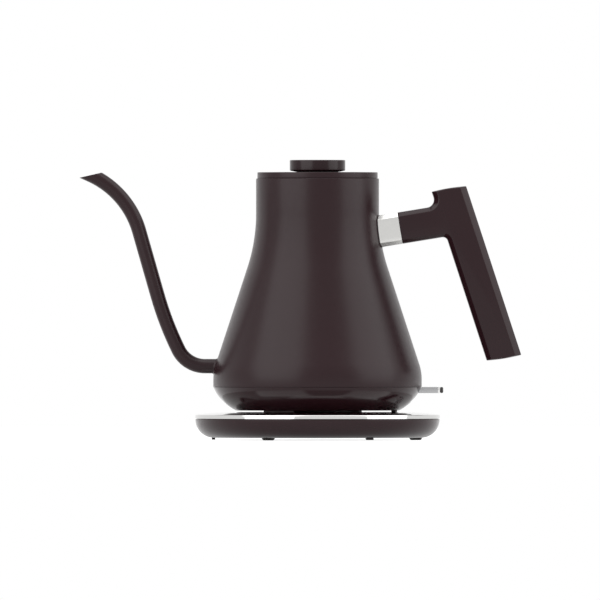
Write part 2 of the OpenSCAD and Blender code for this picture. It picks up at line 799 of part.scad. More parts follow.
module contact_pin() {
    color(COPPER) on_axis() {
        rotate_extrude($fn = SMALL_FN) polygon([
            [0, ring_foot_z - 1], [pin_r - 0.8, ring_foot_z - 1], [pin_r, ring_foot_z],
            [pin_r, socket_roof_z - seat_gap], [pin_r - 0.4, socket_roof_z - seat_gap],
            [pin_r - 0.4, control_top_z], [0, control_top_z]]);
    }
}

module control_screws() {
    color(STEEL) on_axis()
        for (a = control_ears)
            rotate([0, 0, a]) translate([control_ear_x, 0, control_ear_z])
                screw(control_screw_r, floor_z - wall - control_ear_z - slip_gap, 2.8, 1.6);
}

grommet_r = steam_r + 1.2;

module steam_tube() {
    top_z = rim_z - steam_top_gap;
    low_z = spreader_z - 0.6;
    color(STEEL) on_axis() translate([steam_x, 0, 0])
        ring(steam_r, steam_r - steam_wall, low_z, top_z, $fn = SMALL_FN);
}

module tube_grommet() {
    lip = 1.2;
    color(RUBBER) on_axis() translate([steam_x, 0, 0]) {
        difference() {
            union() {
                disc(grommet_r, floor_z - wall, floor_z, $fn = SMALL_FN);
                disc(grommet_r + lip, floor_z, floor_z + lip, $fn = SMALL_FN);
            }
            disc(steam_r + weld_gap, floor_z - 5, floor_z + 5, $fn = SMALL_FN);
        }
    }
}

// Spot-welded clip that holds the steam tube to the neck.
module tube_clip() {
    clip_h = 7;
    clip_t = 0.8;
    clip_w = 8;
    clip_z = rim_z - steam_top_gap - 2 * clip_h;
    color(STEEL) on_axis() intersection() {
        difference() {
            union() {
                translate([steam_x, 0, 0])
                    disc(steam_r + clip_t, clip_z, clip_z + clip_h, $fn = SMALL_FN);
                translate([steam_x, -clip_w / 2, clip_z]) cube([neck_r, clip_w, clip_h]);
            }
            translate([steam_x, 0, 0])
                disc(steam_r + weld_gap, clip_z - 1, clip_z + clip_h + 1, $fn = SMALL_FN);
        }
        disc(neck_r - wall, clip_z - 1, clip_z + clip_h + 1);
    }
}

// -------------------------------------------------- kettle: skirt and its pads

spigot_h = 2.6;
spigot_t = 1.4;
spigot_root = 1;
skirt_hole_r = collar_r + 1.5;
skirt_post_a = [30, 150, 270];
skirt_post_x = 49.4;
skirt_post_r = 3;
skirt_screw_r = 1.4;
skirt_head_r = 2.6;
skirt_head_h = 1.2;
skirt_head_z = skirt_z + skirt_head_h + 0.4;

module skirt_outline() {
    polygon(concat(skirt_line(0, skirt_z),
                   [[skirt_hole_r, skirt_z], [skirt_hole_r, skirt_z + skirt_wall]],
                   flip(skirt_line(skirt_wall, skirt_z + skirt_wall))));
}

module bottom_skirt() {
    slot_w = lever_w + 2 * lever_slot_gap;
    slot_low = (lever_reach - lever_pivot_x) * sin(lever_travel_a) + lever_t / 2 + lever_slot_gap;
    color(PAINT) on_axis() difference() {
        union() {
            rotate_extrude() skirt_outline();
            ring(inner_r - slip_gap, inner_r - slip_gap - spigot_t,
                 skirt_top_z - spigot_root, seam_z + spigot_h);
            for (a = skirt_post_a)
                rotate([0, 0, a]) translate([skirt_post_x, 0, 0])
                    disc(skirt_post_r, skirt_z + skirt_wall / 2, floor_z - wall - skirt_boss_h,
                         $fn = SMALL_FN);
        }
        for (a = skirt_post_a)
            rotate([0, 0, a]) translate([skirt_post_x, 0, 0]) {
                disc(skirt_screw_r + screw_gap, skirt_z - 1, rim_z, $fn = SMALL_FN);
                disc(skirt_head_r + screw_gap, skirt_z - 1, skirt_head_z, $fn = SMALL_FN);
            }
        translate([lever_pivot_x + 8, -slot_w / 2, lever_z - slot_low])
            cube([belly_r, slot_w, slot_low + lever_drop + spigot_h + 5]);
        for (a = [0, 120, 240])
            rotate([0, 0, a]) pad_shape(skirt_z - 1, skirt_z + pad_sink);
    }
}

pad_sink = 0.6;

module pad_shape(z0, z1) {
    rotate([0, 0, -pad_angle / 2]) translate([0, 0, z0])
        rotate_extrude(angle = pad_angle)
            translate([pad_circle_r - pad_w / 2, 0]) square([pad_w, z1 - z0]);
}

module kettle_pads() {
    color(RUBBER) on_axis()
        for (a = [0, 120, 240])
            rotate([0, 0, a]) pad_shape(pad_z, skirt_z + pad_sink);
}

// Screws that hold the skirt up to the floor's bosses.
module skirt_screws() {
    color(STEEL) on_axis()
        for (a = skirt_post_a)
            rotate([0, 0, a]) translate([skirt_post_x, 0, skirt_head_z])
                screw(skirt_screw_r, floor_z - wall - slip_gap - skirt_head_z, skirt_head_r,
                      skirt_head_h);
}

// -------------------------------------------------------------------- lever

module switch_lever() {
    hub_l = lever_hub_w;
    color(STEEL) on_axis() difference() {
        union() {
            translate([lever_pivot_x, hub_l / 2, lever_z]) rotate([90, 0, 0])
                cylinder(r = lever_hub_r, h = hub_l, $fn = SMALL_FN);
            translate([lever_pivot_x, -lever_w / 2, lever_z - lever_t / 2])
                cube([lever_reach - lever_cap_l - lever_pivot_x, lever_w, lever_t]);
        }
        translate([lever_pivot_x, hub_l, lever_z]) rotate([90, 0, 0])
            cylinder(r = lever_pin_r + run_gap, h = 2 * hub_l, $fn = SMALL_FN);
    }
}

module lever_tip() {
    round_r = 1.2;
    color(DARK) on_axis()
        translate([lever_reach - lever_cap_l, 0, lever_z])
            intersection() {
                translate([0, -lever_w / 2, -lever_t / 2]) cube([lever_cap_l, lever_w, lever_t]);
                translate([0, 0, -lever_t]) linear_extrude(2 * lever_t) polygon([
                    [0, -lever_w / 2], [lever_cap_l - round_r, -lever_w / 2],
                    [lever_cap_l, -lever_w / 2 + round_r], [lever_cap_l, lever_w / 2 - round_r],
                    [lever_cap_l - round_r, lever_w / 2], [0, lever_w / 2]]);
            }
}

module lever_pin() {
    pin_l = lever_hub_w + 2 * (slip_gap + lever_ear_t);
    color(STEEL) on_axis()
        translate([lever_pivot_x, pin_l / 2, lever_z]) rotate([90, 0, 0])
            cylinder(r = lever_pin_r, h = pin_l, $fn = SMALL_FN);
}

// ---------------------------------------------------------------------- lid

plug_r = mouth_r - 1.4;
seal_h = 2.4;
seal_z = rim_z - wall - 3.6;
cap_t = 1.0;
knob_head_r = 2.8;
knob_head_h = 1.6;
knob_head_z = rim_z - lid_plug_h + knob_head_h + 0.4;
knob_roof_t = 1.6;

module lid_cap() {
    edge = 0.5;
    hole_r = knob_screw_r + screw_gap;
    color(PAINT) on_axis() rotate_extrude() polygon([
        [hole_r, lid_top_z - cap_t], [lid_r - cap_t, lid_top_z - cap_t], [lid_r - cap_t, rim_z],
        [lid_r, rim_z], [lid_r, lid_top_z - edge], [lid_r - edge, lid_top_z],
        [hole_r, lid_top_z]]);
}

// Moulded plug under the cap, with steam holes through its floor.
module lid_liner() {
    floor_t = 1.4;
    side_t = 1.6;
    color(DARK) on_axis() difference() {
        union() {
            ring(plug_r, plug_r - side_t, rim_z - lid_plug_h, lid_top_z - cap_t);
            disc(plug_r - 0.5, rim_z - lid_plug_h, rim_z - lid_plug_h + floor_t);
            disc(4, rim_z - lid_plug_h, lid_top_z - cap_t);
            ring(lid_r - cap_t - slip_gap, plug_r - 0.5, rim_z, rim_z + 1.2);
        }
        ring(plug_r + 1, plug_r - 0.9, seal_z, seal_z + seal_h);
        for (a = [0:45:315])
            rotate([0, 0, a]) translate([18, 0, 0])
                disc(1.5, rim_z - lid_plug_h - 1, rim_z - lid_plug_h + floor_t + 1,
                     $fn = SMALL_FN);
        disc(knob_screw_r + screw_gap, rim_z - lid_plug_h - 1, lid_top_z, $fn = SMALL_FN);
        disc(knob_head_r + screw_gap, rim_z - lid_plug_h - 1, knob_head_z, $fn = SMALL_FN);
    }
}

// Silicone ring in the plug's groove.
module lid_seal() {
    color([0.35, 0.34, 0.33]) on_axis() rotate_extrude() polygon([
        [plug_r - 0.9, seal_z], [mouth_r - slip_gap - 0.6, seal_z],
        [mouth_r - slip_gap, seal_z + seal_h / 2], [mouth_r - slip_gap - 0.6, seal_z + seal_h],
        [plug_r - 0.9, seal_z + seal_h]]);
}

module lid_knob() {
    edge = 0.7;
    color(PAINT) on_axis() difference() {
        rotate_extrude() polygon([
            [0, knob_z], [knob_r - edge, knob_z], [knob_r, knob_z + edge],
            [knob_r, knob_z + knob_h - edge], [knob_r - edge, knob_z + knob_h],
            [0, knob_z + knob_h]]);
        disc(knob_screw_r, knob_z - 1, knob_z + knob_h - knob_roof_t, $fn = SMALL_FN);
    }
}

module knob_spacer() {
    color(DARK) on_axis() ring(spacer_r, knob_screw_r + screw_gap, lid_top_z, knob_z);
}

module knob_screw() {
    color(STEEL) on_axis() translate([0, 0, knob_head_z])
        screw(knob_screw_r, knob_z + knob_h - knob_roof_t - knob_head_z, knob_head_r, knob_head_h);
}

// ------------------------------------------------------------------- handle

// Outline of an eight-sided bar: height, depth, chamfer in the height at either edge,
// and the same chamfer's depth.
module bar_outline(h_low, h_high, d, c_low, c_high, c_d) {
    polygon([[h_low, -d / 2 + c_d], [h_low + c_low, -d / 2], [h_high - c_high, -d / 2],
             [h_high, -d / 2 + c_d], [h_high, d / 2 - c_d], [h_high - c_high, d / 2],
             [h_low + c_low, d / 2], [h_low, d / 2 - c_d]]);
}

// Frame along the arm: local x runs out along the arm, z across its height.
module arm_frame() {
    translate([arm_joint_x, 0, arm_joint_z]) rotate([0, -arm_a, 0]) children();
}

// Frame along the grip: local x runs down the grip, z towards its outer edge.
module grip_frame() {
    translate([grip_x, 0, grip_z]) rotate([0, 90 - grip_a, 0]) children();
}

// Bar along local x from x0 to x1 with the arm's section, smaller by inset.
module arm_bar(x0, x1, inset) {
    h = arm_h / 2 - inset;
    chamfer = arm_chamfer - inset * (2 - sqrt(2));
    translate([x0, 0, 0]) rotate([90, 0, 90]) rotate([0, 0, 90]) linear_extrude(x1 - x0)
        bar_outline(-h, h, handle_d - 2 * inset, chamfer, chamfer, chamfer);
}

grip_side_chamfer = 5.5;

// The grip's bar, cut off by two crowned ends that lie parallel to the arm.
module grip_bar() {
    reach = grip_w;
    span_a = asin(reach / grip_crown_r);
    top = [-grip_up * sin(lean_a), grip_up * cos(lean_a) - grip_crown_r];
    low = [grip_down * sin(lean_a), grip_crown_r - grip_down * cos(lean_a)];
    intersection() {
        grip_frame() translate([-grip_up - reach, 0, 0]) rotate([90, 0, 90]) rotate([0, 0, 90])
            linear_extrude(grip_up + grip_down + 2 * reach)
                bar_outline(-grip_w / 2, grip_w / 2, handle_d, grip_chamfer_in,
                            grip_chamfer_out, grip_side_chamfer);
        translate([grip_x, 0, grip_z]) rotate([90, -arm_a, 0])
            linear_extrude(2 * handle_d, center = true) polygon(concat(
                arc(top[0], top[1], grip_crown_r, 90 + span_a, 90 - span_a, 16),
                arc(low[0], low[1], grip_crown_r, span_a - 90, -span_a - 90, 16)));
    }
}

// Concave fillet between two lines that meet at a corner, as a flat outline.
module fillet_outline(r, open_a) {
    reach = r / tan(open_a / 2);
    difference() {
        polygon([[-EPS, -EPS], [reach, 0], [reach * cos(open_a), reach * sin(open_a)]]);
        translate([reach, r]) circle(r = r, $fn = 64);
    }
}

// Corner where the arm's edge meets the grip's inner edge, measured along the arm.
function corner_x(side) =
    arm_len - (grip_w / 2) / cos(lean_a) - side * (arm_h / 2) * tan(lean_a);

module handle_solid() {
    fillet_d = handle_d - 2 * arm_chamfer;
    grip_bar();
    arm_frame() arm_bar(0, arm_len, 0);
    arm_frame() translate([corner_x(1), fillet_d / 2, arm_h / 2]) rotate([90, 0, 0])
        linear_extrude(fillet_d) mirror([1, 0]) fillet_outline(horn_fillet_r, 90 - lean_a);
    arm_frame() translate([corner_x(-1), fillet_d / 2, -arm_h / 2]) rotate([90, 0, 0])
        linear_extrude(fillet_d)
            mirror([1, 0]) mirror([0, 1]) fillet_outline(crook_fillet_r, 90 + lean_a);
}

// Steel core that the grip is moulded round.
module tang_shape() {
    arm_frame() translate([-bracket_gap, -tang_w / 2, -tang_t / 2])
        cube([arm_len + bracket_gap, tang_w, tang_t]);
    grip_frame() translate([0, -tang_w / 2, -tang_t / 2]) cube([tang_drop, tang_w, tang_t]);
}

module handle_grip() {
    color(PAINT) on_axis() difference() {
        handle_solid();
        tang_shape();
    }
}

module handle_tang() {
    color(STEEL) on_axis() difference() {
        union() {
            tang_shape();
            arm_frame() translate([-bracket_gap - tang_plate_t, -tang_w / 2, -tang_plate_h / 2])
                cube([tang_plate_t, tang_w, tang_plate_h]);
        }
        for (side = [-1, 1])
            arm_frame() translate([-sleeve_back, 0, side * handle_screw_pitch / 2])
                rotate([0, 90, 0]) cylinder(r = handle_screw_r, h = sleeve_back, $fn = SMALL_FN);
    }
}

module handle_collar() {
    color(STEEL) on_axis() difference() {
        arm_frame() arm_bar(-sleeve_back, 0, 0);
        arm_frame() arm_bar(-sleeve_back - 1, 1, sleeve_wall);
        vessel_solid(gasket_t);
    }
}

module handle_gasket() {
    color(RUBBER) on_axis() intersection() {
        difference() {
            arm_frame() arm_bar(-sleeve_back, 0, 0.2);
            arm_frame() arm_bar(-sleeve_back - 1, 1, sleeve_wall);
            vessel_solid(0);
        }
        vessel_solid(gasket_t);
    }
}

module handle_bracket() {
    face = bracket_gap + tang_plate_t;
    color(STEEL) on_axis() difference() {
        arm_frame() arm_bar(-sleeve_back, -face, sleeve_wall + slip_gap);
        vessel_solid(weld_gap);
        for (side = [-1, 1])
            arm_frame() translate([-sleeve_back, 0, side * handle_screw_pitch / 2])
                rotate([0, 90, 0]) cylinder(r = handle_screw_r - 0.2, h = sleeve_back, $fn = SMALL_FN);
    }
}

module handle_screws() {
    color(STEEL) on_axis()
        for (side = [-1, 1])
            arm_frame() translate([-bracket_gap, 0, side * handle_screw_pitch / 2])
                rotate([0, -90, 0]) screw(handle_screw_r - 0.3, 7, 1.9, 1.4);
}

base_tub();
base_plate();
plug_housing();
plug_contacts();
base_feet();
base_screws();
cord_gland();
cord_clamp();
terminal_block();
contact_pin();
vessel_shell();
vessel_floor();
spout();
heat_spreader();
heating_element();
element_terminals();
bimetal_disc();
trip_pin();
control_body();
contact_rings();
control_screws();
bottom_skirt();
skirt_screws();
kettle_pads();
lever_pin();
steam_tube();
tube_grommet();
tube_clip();
handle_bracket();
handle_gasket();
handle_collar();
handle_tang();
handle_screws();
handle_grip();
lid_cap();
lid_liner();
lid_seal();
lid_knob();
knob_spacer();
knob_screw();
switch_lever();
lever_tip();
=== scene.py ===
"""Gooseneck electric kettle on its power base: finishes, detailed skins, lamps and camera."""
import math

import bmesh
import bpy
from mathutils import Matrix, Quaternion, Vector


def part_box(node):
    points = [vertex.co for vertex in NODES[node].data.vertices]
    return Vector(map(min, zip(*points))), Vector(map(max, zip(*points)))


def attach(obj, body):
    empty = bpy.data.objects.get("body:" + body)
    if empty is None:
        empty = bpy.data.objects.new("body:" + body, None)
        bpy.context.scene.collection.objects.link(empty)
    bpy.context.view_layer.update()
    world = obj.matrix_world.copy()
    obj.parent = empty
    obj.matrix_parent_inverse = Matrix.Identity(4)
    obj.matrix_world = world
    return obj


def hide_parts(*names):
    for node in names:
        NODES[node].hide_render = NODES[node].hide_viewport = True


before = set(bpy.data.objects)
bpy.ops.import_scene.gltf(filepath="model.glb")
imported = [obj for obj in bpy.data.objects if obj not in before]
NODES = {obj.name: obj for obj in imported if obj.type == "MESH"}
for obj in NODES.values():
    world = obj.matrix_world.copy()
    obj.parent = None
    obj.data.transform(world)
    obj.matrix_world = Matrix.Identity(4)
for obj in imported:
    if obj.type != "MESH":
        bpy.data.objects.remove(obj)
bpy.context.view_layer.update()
MM = 0.001

# ---------------------------------------- places taken from the frame

PLATE_LOW, PLATE_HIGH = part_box("base_plate")
TUB_LOW, TUB_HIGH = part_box("base_tub")
SHELL_LOW, SHELL_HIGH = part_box("vessel_shell")
SKIRT_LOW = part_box("bottom_skirt")[0]
LID_LOW, LID_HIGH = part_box("lid_cap")
KNOB_LOW, KNOB_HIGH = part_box("lid_knob")
SPACER_LOW, SPACER_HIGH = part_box("knob_spacer")
SPOUT_LOW, SPOUT_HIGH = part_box("spout")
LEVER_LOW, LEVER_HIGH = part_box("switch_lever")
TIP_LOW, TIP_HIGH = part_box("lever_tip")
PAD_LOW, PAD_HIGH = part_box("kettle_pads")
GLAND_LOW, GLAND_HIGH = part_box("cord_gland")

AXIS_X = (PLATE_LOW.x + PLATE_HIGH.x) / 2
PLATE_R = (PLATE_HIGH.x - PLATE_LOW.x) / 2
TUB_R = (TUB_HIGH.x - TUB_LOW.x) / 2
BELLY_R = (SHELL_HIGH.x - SHELL_LOW.x) / 2
SEAT_Z = PLATE_HIGH.z
TUB_RIM_Z = PLATE_LOW.z
SEAM_Z = SHELL_LOW.z
RIM_Z = SHELL_HIGH.z
SKIRT_Z = SKIRT_LOW.z
LID_R = (LID_HIGH.x - LID_LOW.x) / 2
KNOB_R = (KNOB_HIGH.x - KNOB_LOW.x) / 2
SPACER_R = (SPACER_HIGH.x - SPACER_LOW.x) / 2
SPOUT_R = (SPOUT_HIGH.y - SPOUT_LOW.y) / 2
SPOUT_Z = SPOUT_LOW.z + SPOUT_R

# ---------------------------------------- sizes the boxes don't give

# Names end in R for a radius, T for a thickness, W and H for a width and a height, Z for a
# height above the floor and A for an angle in degrees. EDGE, TOE, SHOULDER and HEM pairs give
# the way across, then up; BEND_LOW, BEND_MID and BEND_TOP a radius and an angle.

NECK_R = 39.95 * MM
NECK_H = 40.6 * MM
BELLY_H = 9.9 * MM
NECK_CURVE_R = 114.2 * MM
BELLY_CURVE_R = 32.6 * MM
VESSEL_WALL = 0.8 * MM
MOUTH_R = 34 * MM
RIM_EDGE_R = 0.6 * MM
# Shares of the wall's thickness, from rim and outside, past which the steel is bare.
INNER_TOP = 0.9
INNER_SIDE = 0.6

SKIRT_FOOT_R = 53.1 * MM
SKIRT_CURVE_R = 31.2 * MM
SKIRT_FULL = 0.2 * MM
SKIRT_FULL_Z = 29.3 * MM
SKIRT_FULL_H = 3 * MM
SKIRT_WALL = 2 * MM
SKIRT_HOLE_R = 30.3 * MM
SPIGOT_H = 2.6 * MM
SPIGOT_T = 1.4 * MM
SPIGOT_ROOT = 1 * MM
SPIGOT_CLEAR = 0.3 * MM
SEAM_GAP = 0.12 * MM
SEAM_EDGE_R = 0.15 * MM
SLIP_GAP = 0.2 * MM
PAD_CIRCLE_R = 50.4 * MM
PAD_W = 2.6 * MM
PAD_SPAN_A = 25
PAD_EDGE_R = 0.35 * MM

TUB_UNDER_Z = 1.5 * MM
TUB_EDGE_R = 11.8 * MM
TUB_WALL = 2.2 * MM
TUB_RIM_EDGE_R = 0.15 * MM
TUB_LIP_GAP = 0.2 * MM
TUB_LIP_IN = 1.5 * MM
TUB_LIP_H = 1.4 * MM
TUB_LIP_SINK = 0.05 * MM
GLAND_Z = 8.2 * MM
GLAND_HOLE_R = 4.25 * MM
FOOT_R = 4.3 * MM
FOOT_CIRCLE_R = 63.8 * MM
FOOT_FLARE = 1.3 * MM
FOOT_TOE = (0.3 * MM, 0.06 * MM)
FOOT_SHOULDER = (0.25 * MM, 0.3 * MM)
STOP_CIRCLE_R = 67.6 * MM
STOP_RIB = (2.3 * MM, 4.7 * MM)
STOP_BEVEL = 0.3 * MM
SCREW_CIRCLE_R = 58 * MM
SCREW_WELL_R = 2.8 * MM
SCREW_WELL_H = 1.6 * MM
PLATE_T = 0.8 * MM
PLATE_RIM_H = 2.8 * MM
PLATE_RIM_EDGE_R = 0.7 * MM
PLATE_HEM = (0.1 * MM, 0.06 * MM)
PLATE_FLAT_R = 57.6 * MM
PLATE_LIFT = 0.4 * MM
PLATE_SEAT_R = 53.4 * MM
PLATE_SEAT_DROP = 0.2 * MM
PLATE_STEP_W = 0.4 * MM
PLATE_STEP_EASE_W = 0.8 * MM
PLATE_STEP_EASE = (0.04 * MM, 0.06 * MM, 0.02 * MM)
PLATE_RING_OUT_R = 68.3 * MM
PLATE_RING_DROP = 0.66 * MM
PLATE_BEND_W = 1.5 * MM
PLATE_BEND_FALL = (0.04 * MM, 0.17 * MM)
PLATE_HOLE_R = 29 * MM

SPOUT_WALL = 0.7 * MM
SPOUT_ROOT = 73.2 * MM
SPOUT_STUB = 10 * MM
SPOUT_FILLET = 1.3 * MM
SPOUT_FILLET_SINK = 1.1
SPOUT_HOLE_LESS = 0.05 * MM
MOUTH_EDGE = 0.16 * MM
BEND_LOW = (19.2 * MM, 63.9)
BEND_MID = (213 * MM, 10.15)
SPOUT_RUN = 43.4 * MM
BEND_TOP = (57.6 * MM, 49.7)
MOUTH_CUT_A = 13

LID_T = 1 * MM
LID_EDGE_R = 0.4 * MM
KNOB_EDGE_R = 0.6 * MM
SPACER_FOOT_R = 13.2 * MM
SPACER_FOOT_EDGE = (0.5 * MM, 0.3 * MM)
SPACER_TOP_EDGE = (0.35 * MM, 0.5 * MM)

ARM_JOINT_X = 53.6 * MM
ARM_JOINT_RISE = 103.1 * MM
ARM_A = 9.3
ARM_H = 20.65 * MM
ARM_LEN = 38.6 * MM
ARM_CHAMFER = 2.8 * MM
WIDE_CHAMFER = ARM_CHAMFER * 1.5
HANDLE_D = 22 * MM
GRIP_A = 18
GRIP_W = 22.5 * MM
GRIP_UP = 20.8 * MM
GRIP_DOWN = 95.7 * MM
GRIP_CROWN_R = 117 * MM
GRIP_CHAMFER_OUT = 4.1 * MM
GRIP_CHAMFER_IN = 3.3 * MM
GRIP_CHAMFER_END = 0.6 * MM
GRIP_SIDE_CHAMFER = 5.5 * MM
GRIP_EDGE_R = 1.4 * MM
GRIP_EDGE_STEPS = 6
GRIP_BEVEL = 0.45 * MM
HORN_FILLET_R = 5.2 * MM
CROOK_FILLET_R = 3.2 * MM
COLLAR_T = 1.6 * MM
COLLAR_INSET = 0.05 * MM
COLLAR_GRIP_GAP = 0.12 * MM
COLLAR_EDGE_R = 0.35 * MM
COLLAR_CORNER = 0.41
COLLAR_SEARCH = 40 * MM
GASKET_T = 0.6 * MM
GASKET_PROUD = 0.15 * MM
GASKET_WALL_GAP = 0.02 * MM

LEVER_PIVOT_X = 34 * MM
LEVER_TRAVEL_A = 7
LEVER_BEVEL = 0.15 * MM
LEVER_HUB_R = 3.1 * MM
LEVER_TIP_BEVEL = 0.9 * MM
LEVER_PIN_HOLE_R = 1.25 * MM
LEVER_PIN_CUT = 20 * MM
LEVER_SLOT_GAP = 0.8 * MM
LEVER_SLOT_IN_R = 42 * MM
LEVER_SLOT_OVER_SEAM = 8 * MM
# The lever's band is a painted highlight: a brighter polished sheet over the blade's end.
HIGHLIGHT_BAND_L = 1.4 * MM
HIGHLIGHT_BAND_PROUD = (1.004, 1.02)

CUT_OVER = 10 * MM
ROUND_STEPS = 288
ROD_STEPS = 48
SMOOTH_A = 30
BEVEL_SMOOTH_A = 35
BEVEL_FROM_A = 25
ROUND_FROM_A = 15
ROUND_SHARE = 0.45
WELD = 1e-7
ON_AXIS = 1e-9


# ---------------------------------------- small geometry helpers

def deg(a):
    return math.radians(a)


def turns(n):
    """The angles, in radians, that share a full turn out into n."""
    return [2 * math.pi * k / n for k in range(n)]


def arc(cx, cy, r, a0, a1, steps):
    """Points on an arc, by centre, radius and end angles in degrees."""
    out = []
    for i in range(steps + 1):
        a = deg(a0 + (a1 - a0) * i / steps)
        out.append((cx + r * math.cos(a), cy + r * math.sin(a)))
    return out


def rounded(points, radius, steps, closed=True):
    """The same outline with each corner that bends by more than ROUND_FROM_A rounded."""
    out = []
    n = len(points)
    for i, p in enumerate(points):
        if not closed and i in (0, n - 1):
            out.append(p)
            continue
        here = Vector(p)
        back = Vector(points[i - 1]) - here
        ahead = Vector(points[(i + 1) % n]) - here
        turn = math.pi - back.angle(ahead)
        if turn < deg(ROUND_FROM_A):
            out.append(p)
            continue
        reach = min(radius * math.tan(turn / 2), back.length * ROUND_SHARE,
                    ahead.length * ROUND_SHARE)
        r = reach / math.tan(turn / 2)
        start = here + back.normalized() * reach
        end = here + ahead.normalized() * reach
        centre = here + (back.normalized() + ahead.normalized()).normalized() * (
            r / math.cos(turn / 2))
        for k in range(steps + 1):
            mix = (start - centre).lerp(end - centre, k / steps).normalized() * r
            out.append(tuple(centre + mix))
    return out


def ring_faces(a, b, n):
    """The faces between two closed rings of n points that start at vertices a and b."""
    return [(a + k, a + (k + 1) % n, b + (k + 1) % n, b + k) for k in range(n)]


def closed_grid(rings):
    """Vertices and faces of rings joined round both ways."""
    n, m = len(rings), len(rings[0])
    verts = [p for ring in rings for p in ring]
    faces = []
    for i in range(n):
        faces += ring_faces(i * m, ((i + 1) % n) * m, m)
    return verts, faces


def new_piece(name, verts, faces, smooth_angle=SMOOTH_A):
    """A mesh object with outward normals, smooth but for edges sharper than the angle."""
    mesh = bpy.data.meshes.new(name)
    mesh.from_pydata(verts, [], faces)
    piece = bpy.data.objects.new(name, mesh)
    bpy.context.scene.collection.objects.link(piece)
    tidy_mesh(piece, smooth_angle)
    return piece


def tidy_mesh(piece, smooth_angle=SMOOTH_A):
    """Merges doubled points, turns the normals outwards and marks the sharp edges."""
    work = bmesh.new()
    work.from_mesh(piece.data)
    bmesh.ops.remove_doubles(work, verts=work.verts, dist=WELD)
    bmesh.ops.recalc_face_normals(work, faces=work.faces)
    work.to_mesh(piece.data)
    work.free()
    piece.data.polygons.foreach_set("use_smooth", [True] * len(piece.data.polygons))
    piece.data.set_sharp_from_angle(angle=deg(smooth_angle))
    piece.data.update()


def lathe(name, outline, steps=ROUND_STEPS, centre=(0.0, 0.0)):
    """Turns a closed (r, z) outline about an upright axis; centre is from the kettle's axis."""
    cx, cy = AXIS_X + centre[0], centre[1]
    verts = []
    index = []
    for r, z in outline:
        if r < ON_AXIS:
            index.append([len(verts)] * steps)
            verts.append((cx, cy, z))
            continue
        index.append(list(range(len(verts), len(verts) + steps)))
        verts += [(cx + r * math.cos(a), cy + r * math.sin(a), z) for a in turns(steps)]
    faces = []
    n = len(outline)
    for i in range(n):
        low, high = index[i], index[(i + 1) % n]
        for k in range(steps):
            m = (k + 1) % steps
            ring = []
            for v in (low[k], low[m], high[m], high[k]):
                if v not in ring:
                    ring.append(v)
            if len(ring) > 2:
                faces.append(tuple(ring))
    return new_piece(name, verts, faces)


def block(name, low, high):
    """A plain box, used only as a cutting tool or as the start of a shaped piece."""
    xs, ys, zs = zip(low, high)
    verts = [(x, y, z) for x in xs for y in ys for z in zs]
    faces = [(0, 1, 3, 2), (4, 6, 7, 5), (0, 4, 5, 1), (2, 3, 7, 6), (0, 2, 6, 4), (1, 5, 7, 3)]
    return new_piece(name, verts, faces)


def level_rod(name, r, start, end):
    """A plain rod along x or along y between two points, used as a tool or as a hub."""
    wide_x, wide_y = (0, r) if start[1] == end[1] else (r, 0)
    verts = []
    for x, y, z in (start, end):
        verts += [(x + wide_x * math.cos(a), y + wide_y * math.cos(a), z + r * math.sin(a))
                  for a in turns(ROD_STEPS)]
    faces = [tuple(range(ROD_STEPS)), tuple(range(ROD_STEPS, 2 * ROD_STEPS))]
    return new_piece(name, verts, faces + ring_faces(0, ROD_STEPS, ROD_STEPS))


def apply_modifiers(piece):
    """Bakes the piece's modifiers into its mesh."""
    bpy.context.view_layer.update()
    graph = bpy.context.evaluated_depsgraph_get()
    mesh = bpy.data.meshes.new_from_object(piece.evaluated_get(graph))
    piece.modifiers.clear()
    piece.data = mesh


def combine(piece, operation, others):
    """Takes the others' solids out of the piece, or joins them to it, and deletes the others."""
    for other in others:
        step = piece.modifiers.new("combine", "BOOLEAN")
        step.operation = operation
        step.solver = "EXACT"
        step.object = other
    apply_modifiers(piece)
    for other in others:
        bpy.data.objects.remove(other)


def cut(piece, *tools):
    combine(piece, "DIFFERENCE", tools)
    tidy_mesh(piece)


def bevel(piece, width, segments=3):
    """Rounds every edge of the piece that bends by more than BEVEL_FROM_A."""
    step = piece.modifiers.new("edges", "BEVEL")
    step.width = width
    step.segments = segments
    step.limit_method = "ANGLE"
    step.angle_limit = deg(BEVEL_FROM_A)
    step.harden_normals = False
    apply_modifiers(piece)
    tidy_mesh(piece, BEVEL_SMOOTH_A)


# ---------------------------------------- shader node groups

PEEL_PER_GRAIN = 0.22
PEEL_SHARE = 0.35
PATCHES_PER_METRE = 35


def add_node(nodes, kind, values):
    """A new node with some of its inputs set."""
    node = nodes.new(kind)
    for name, value in values.items():
        node.inputs[name].default_value = value
    return node


def start_effect(name, settings, results):
    """A node group with its sockets, its nodes and links, its two ends and a place node."""
    group = bpy.data.node_groups.new(name, "ShaderNodeTree")
    for label, kind, value in settings:
        made = group.interface.new_socket(name=label, in_out="INPUT", socket_type=kind)
        made.default_value = value
    for label in results:
        group.interface.new_socket(name=label, in_out="OUTPUT", socket_type="NodeSocketFloat")
    ends = [group.nodes.new(kind) for kind in ("NodeGroupInput", "NodeGroupOutput",
                                               "ShaderNodeTexCoord")]
    return group, group.nodes, group.links, *ends


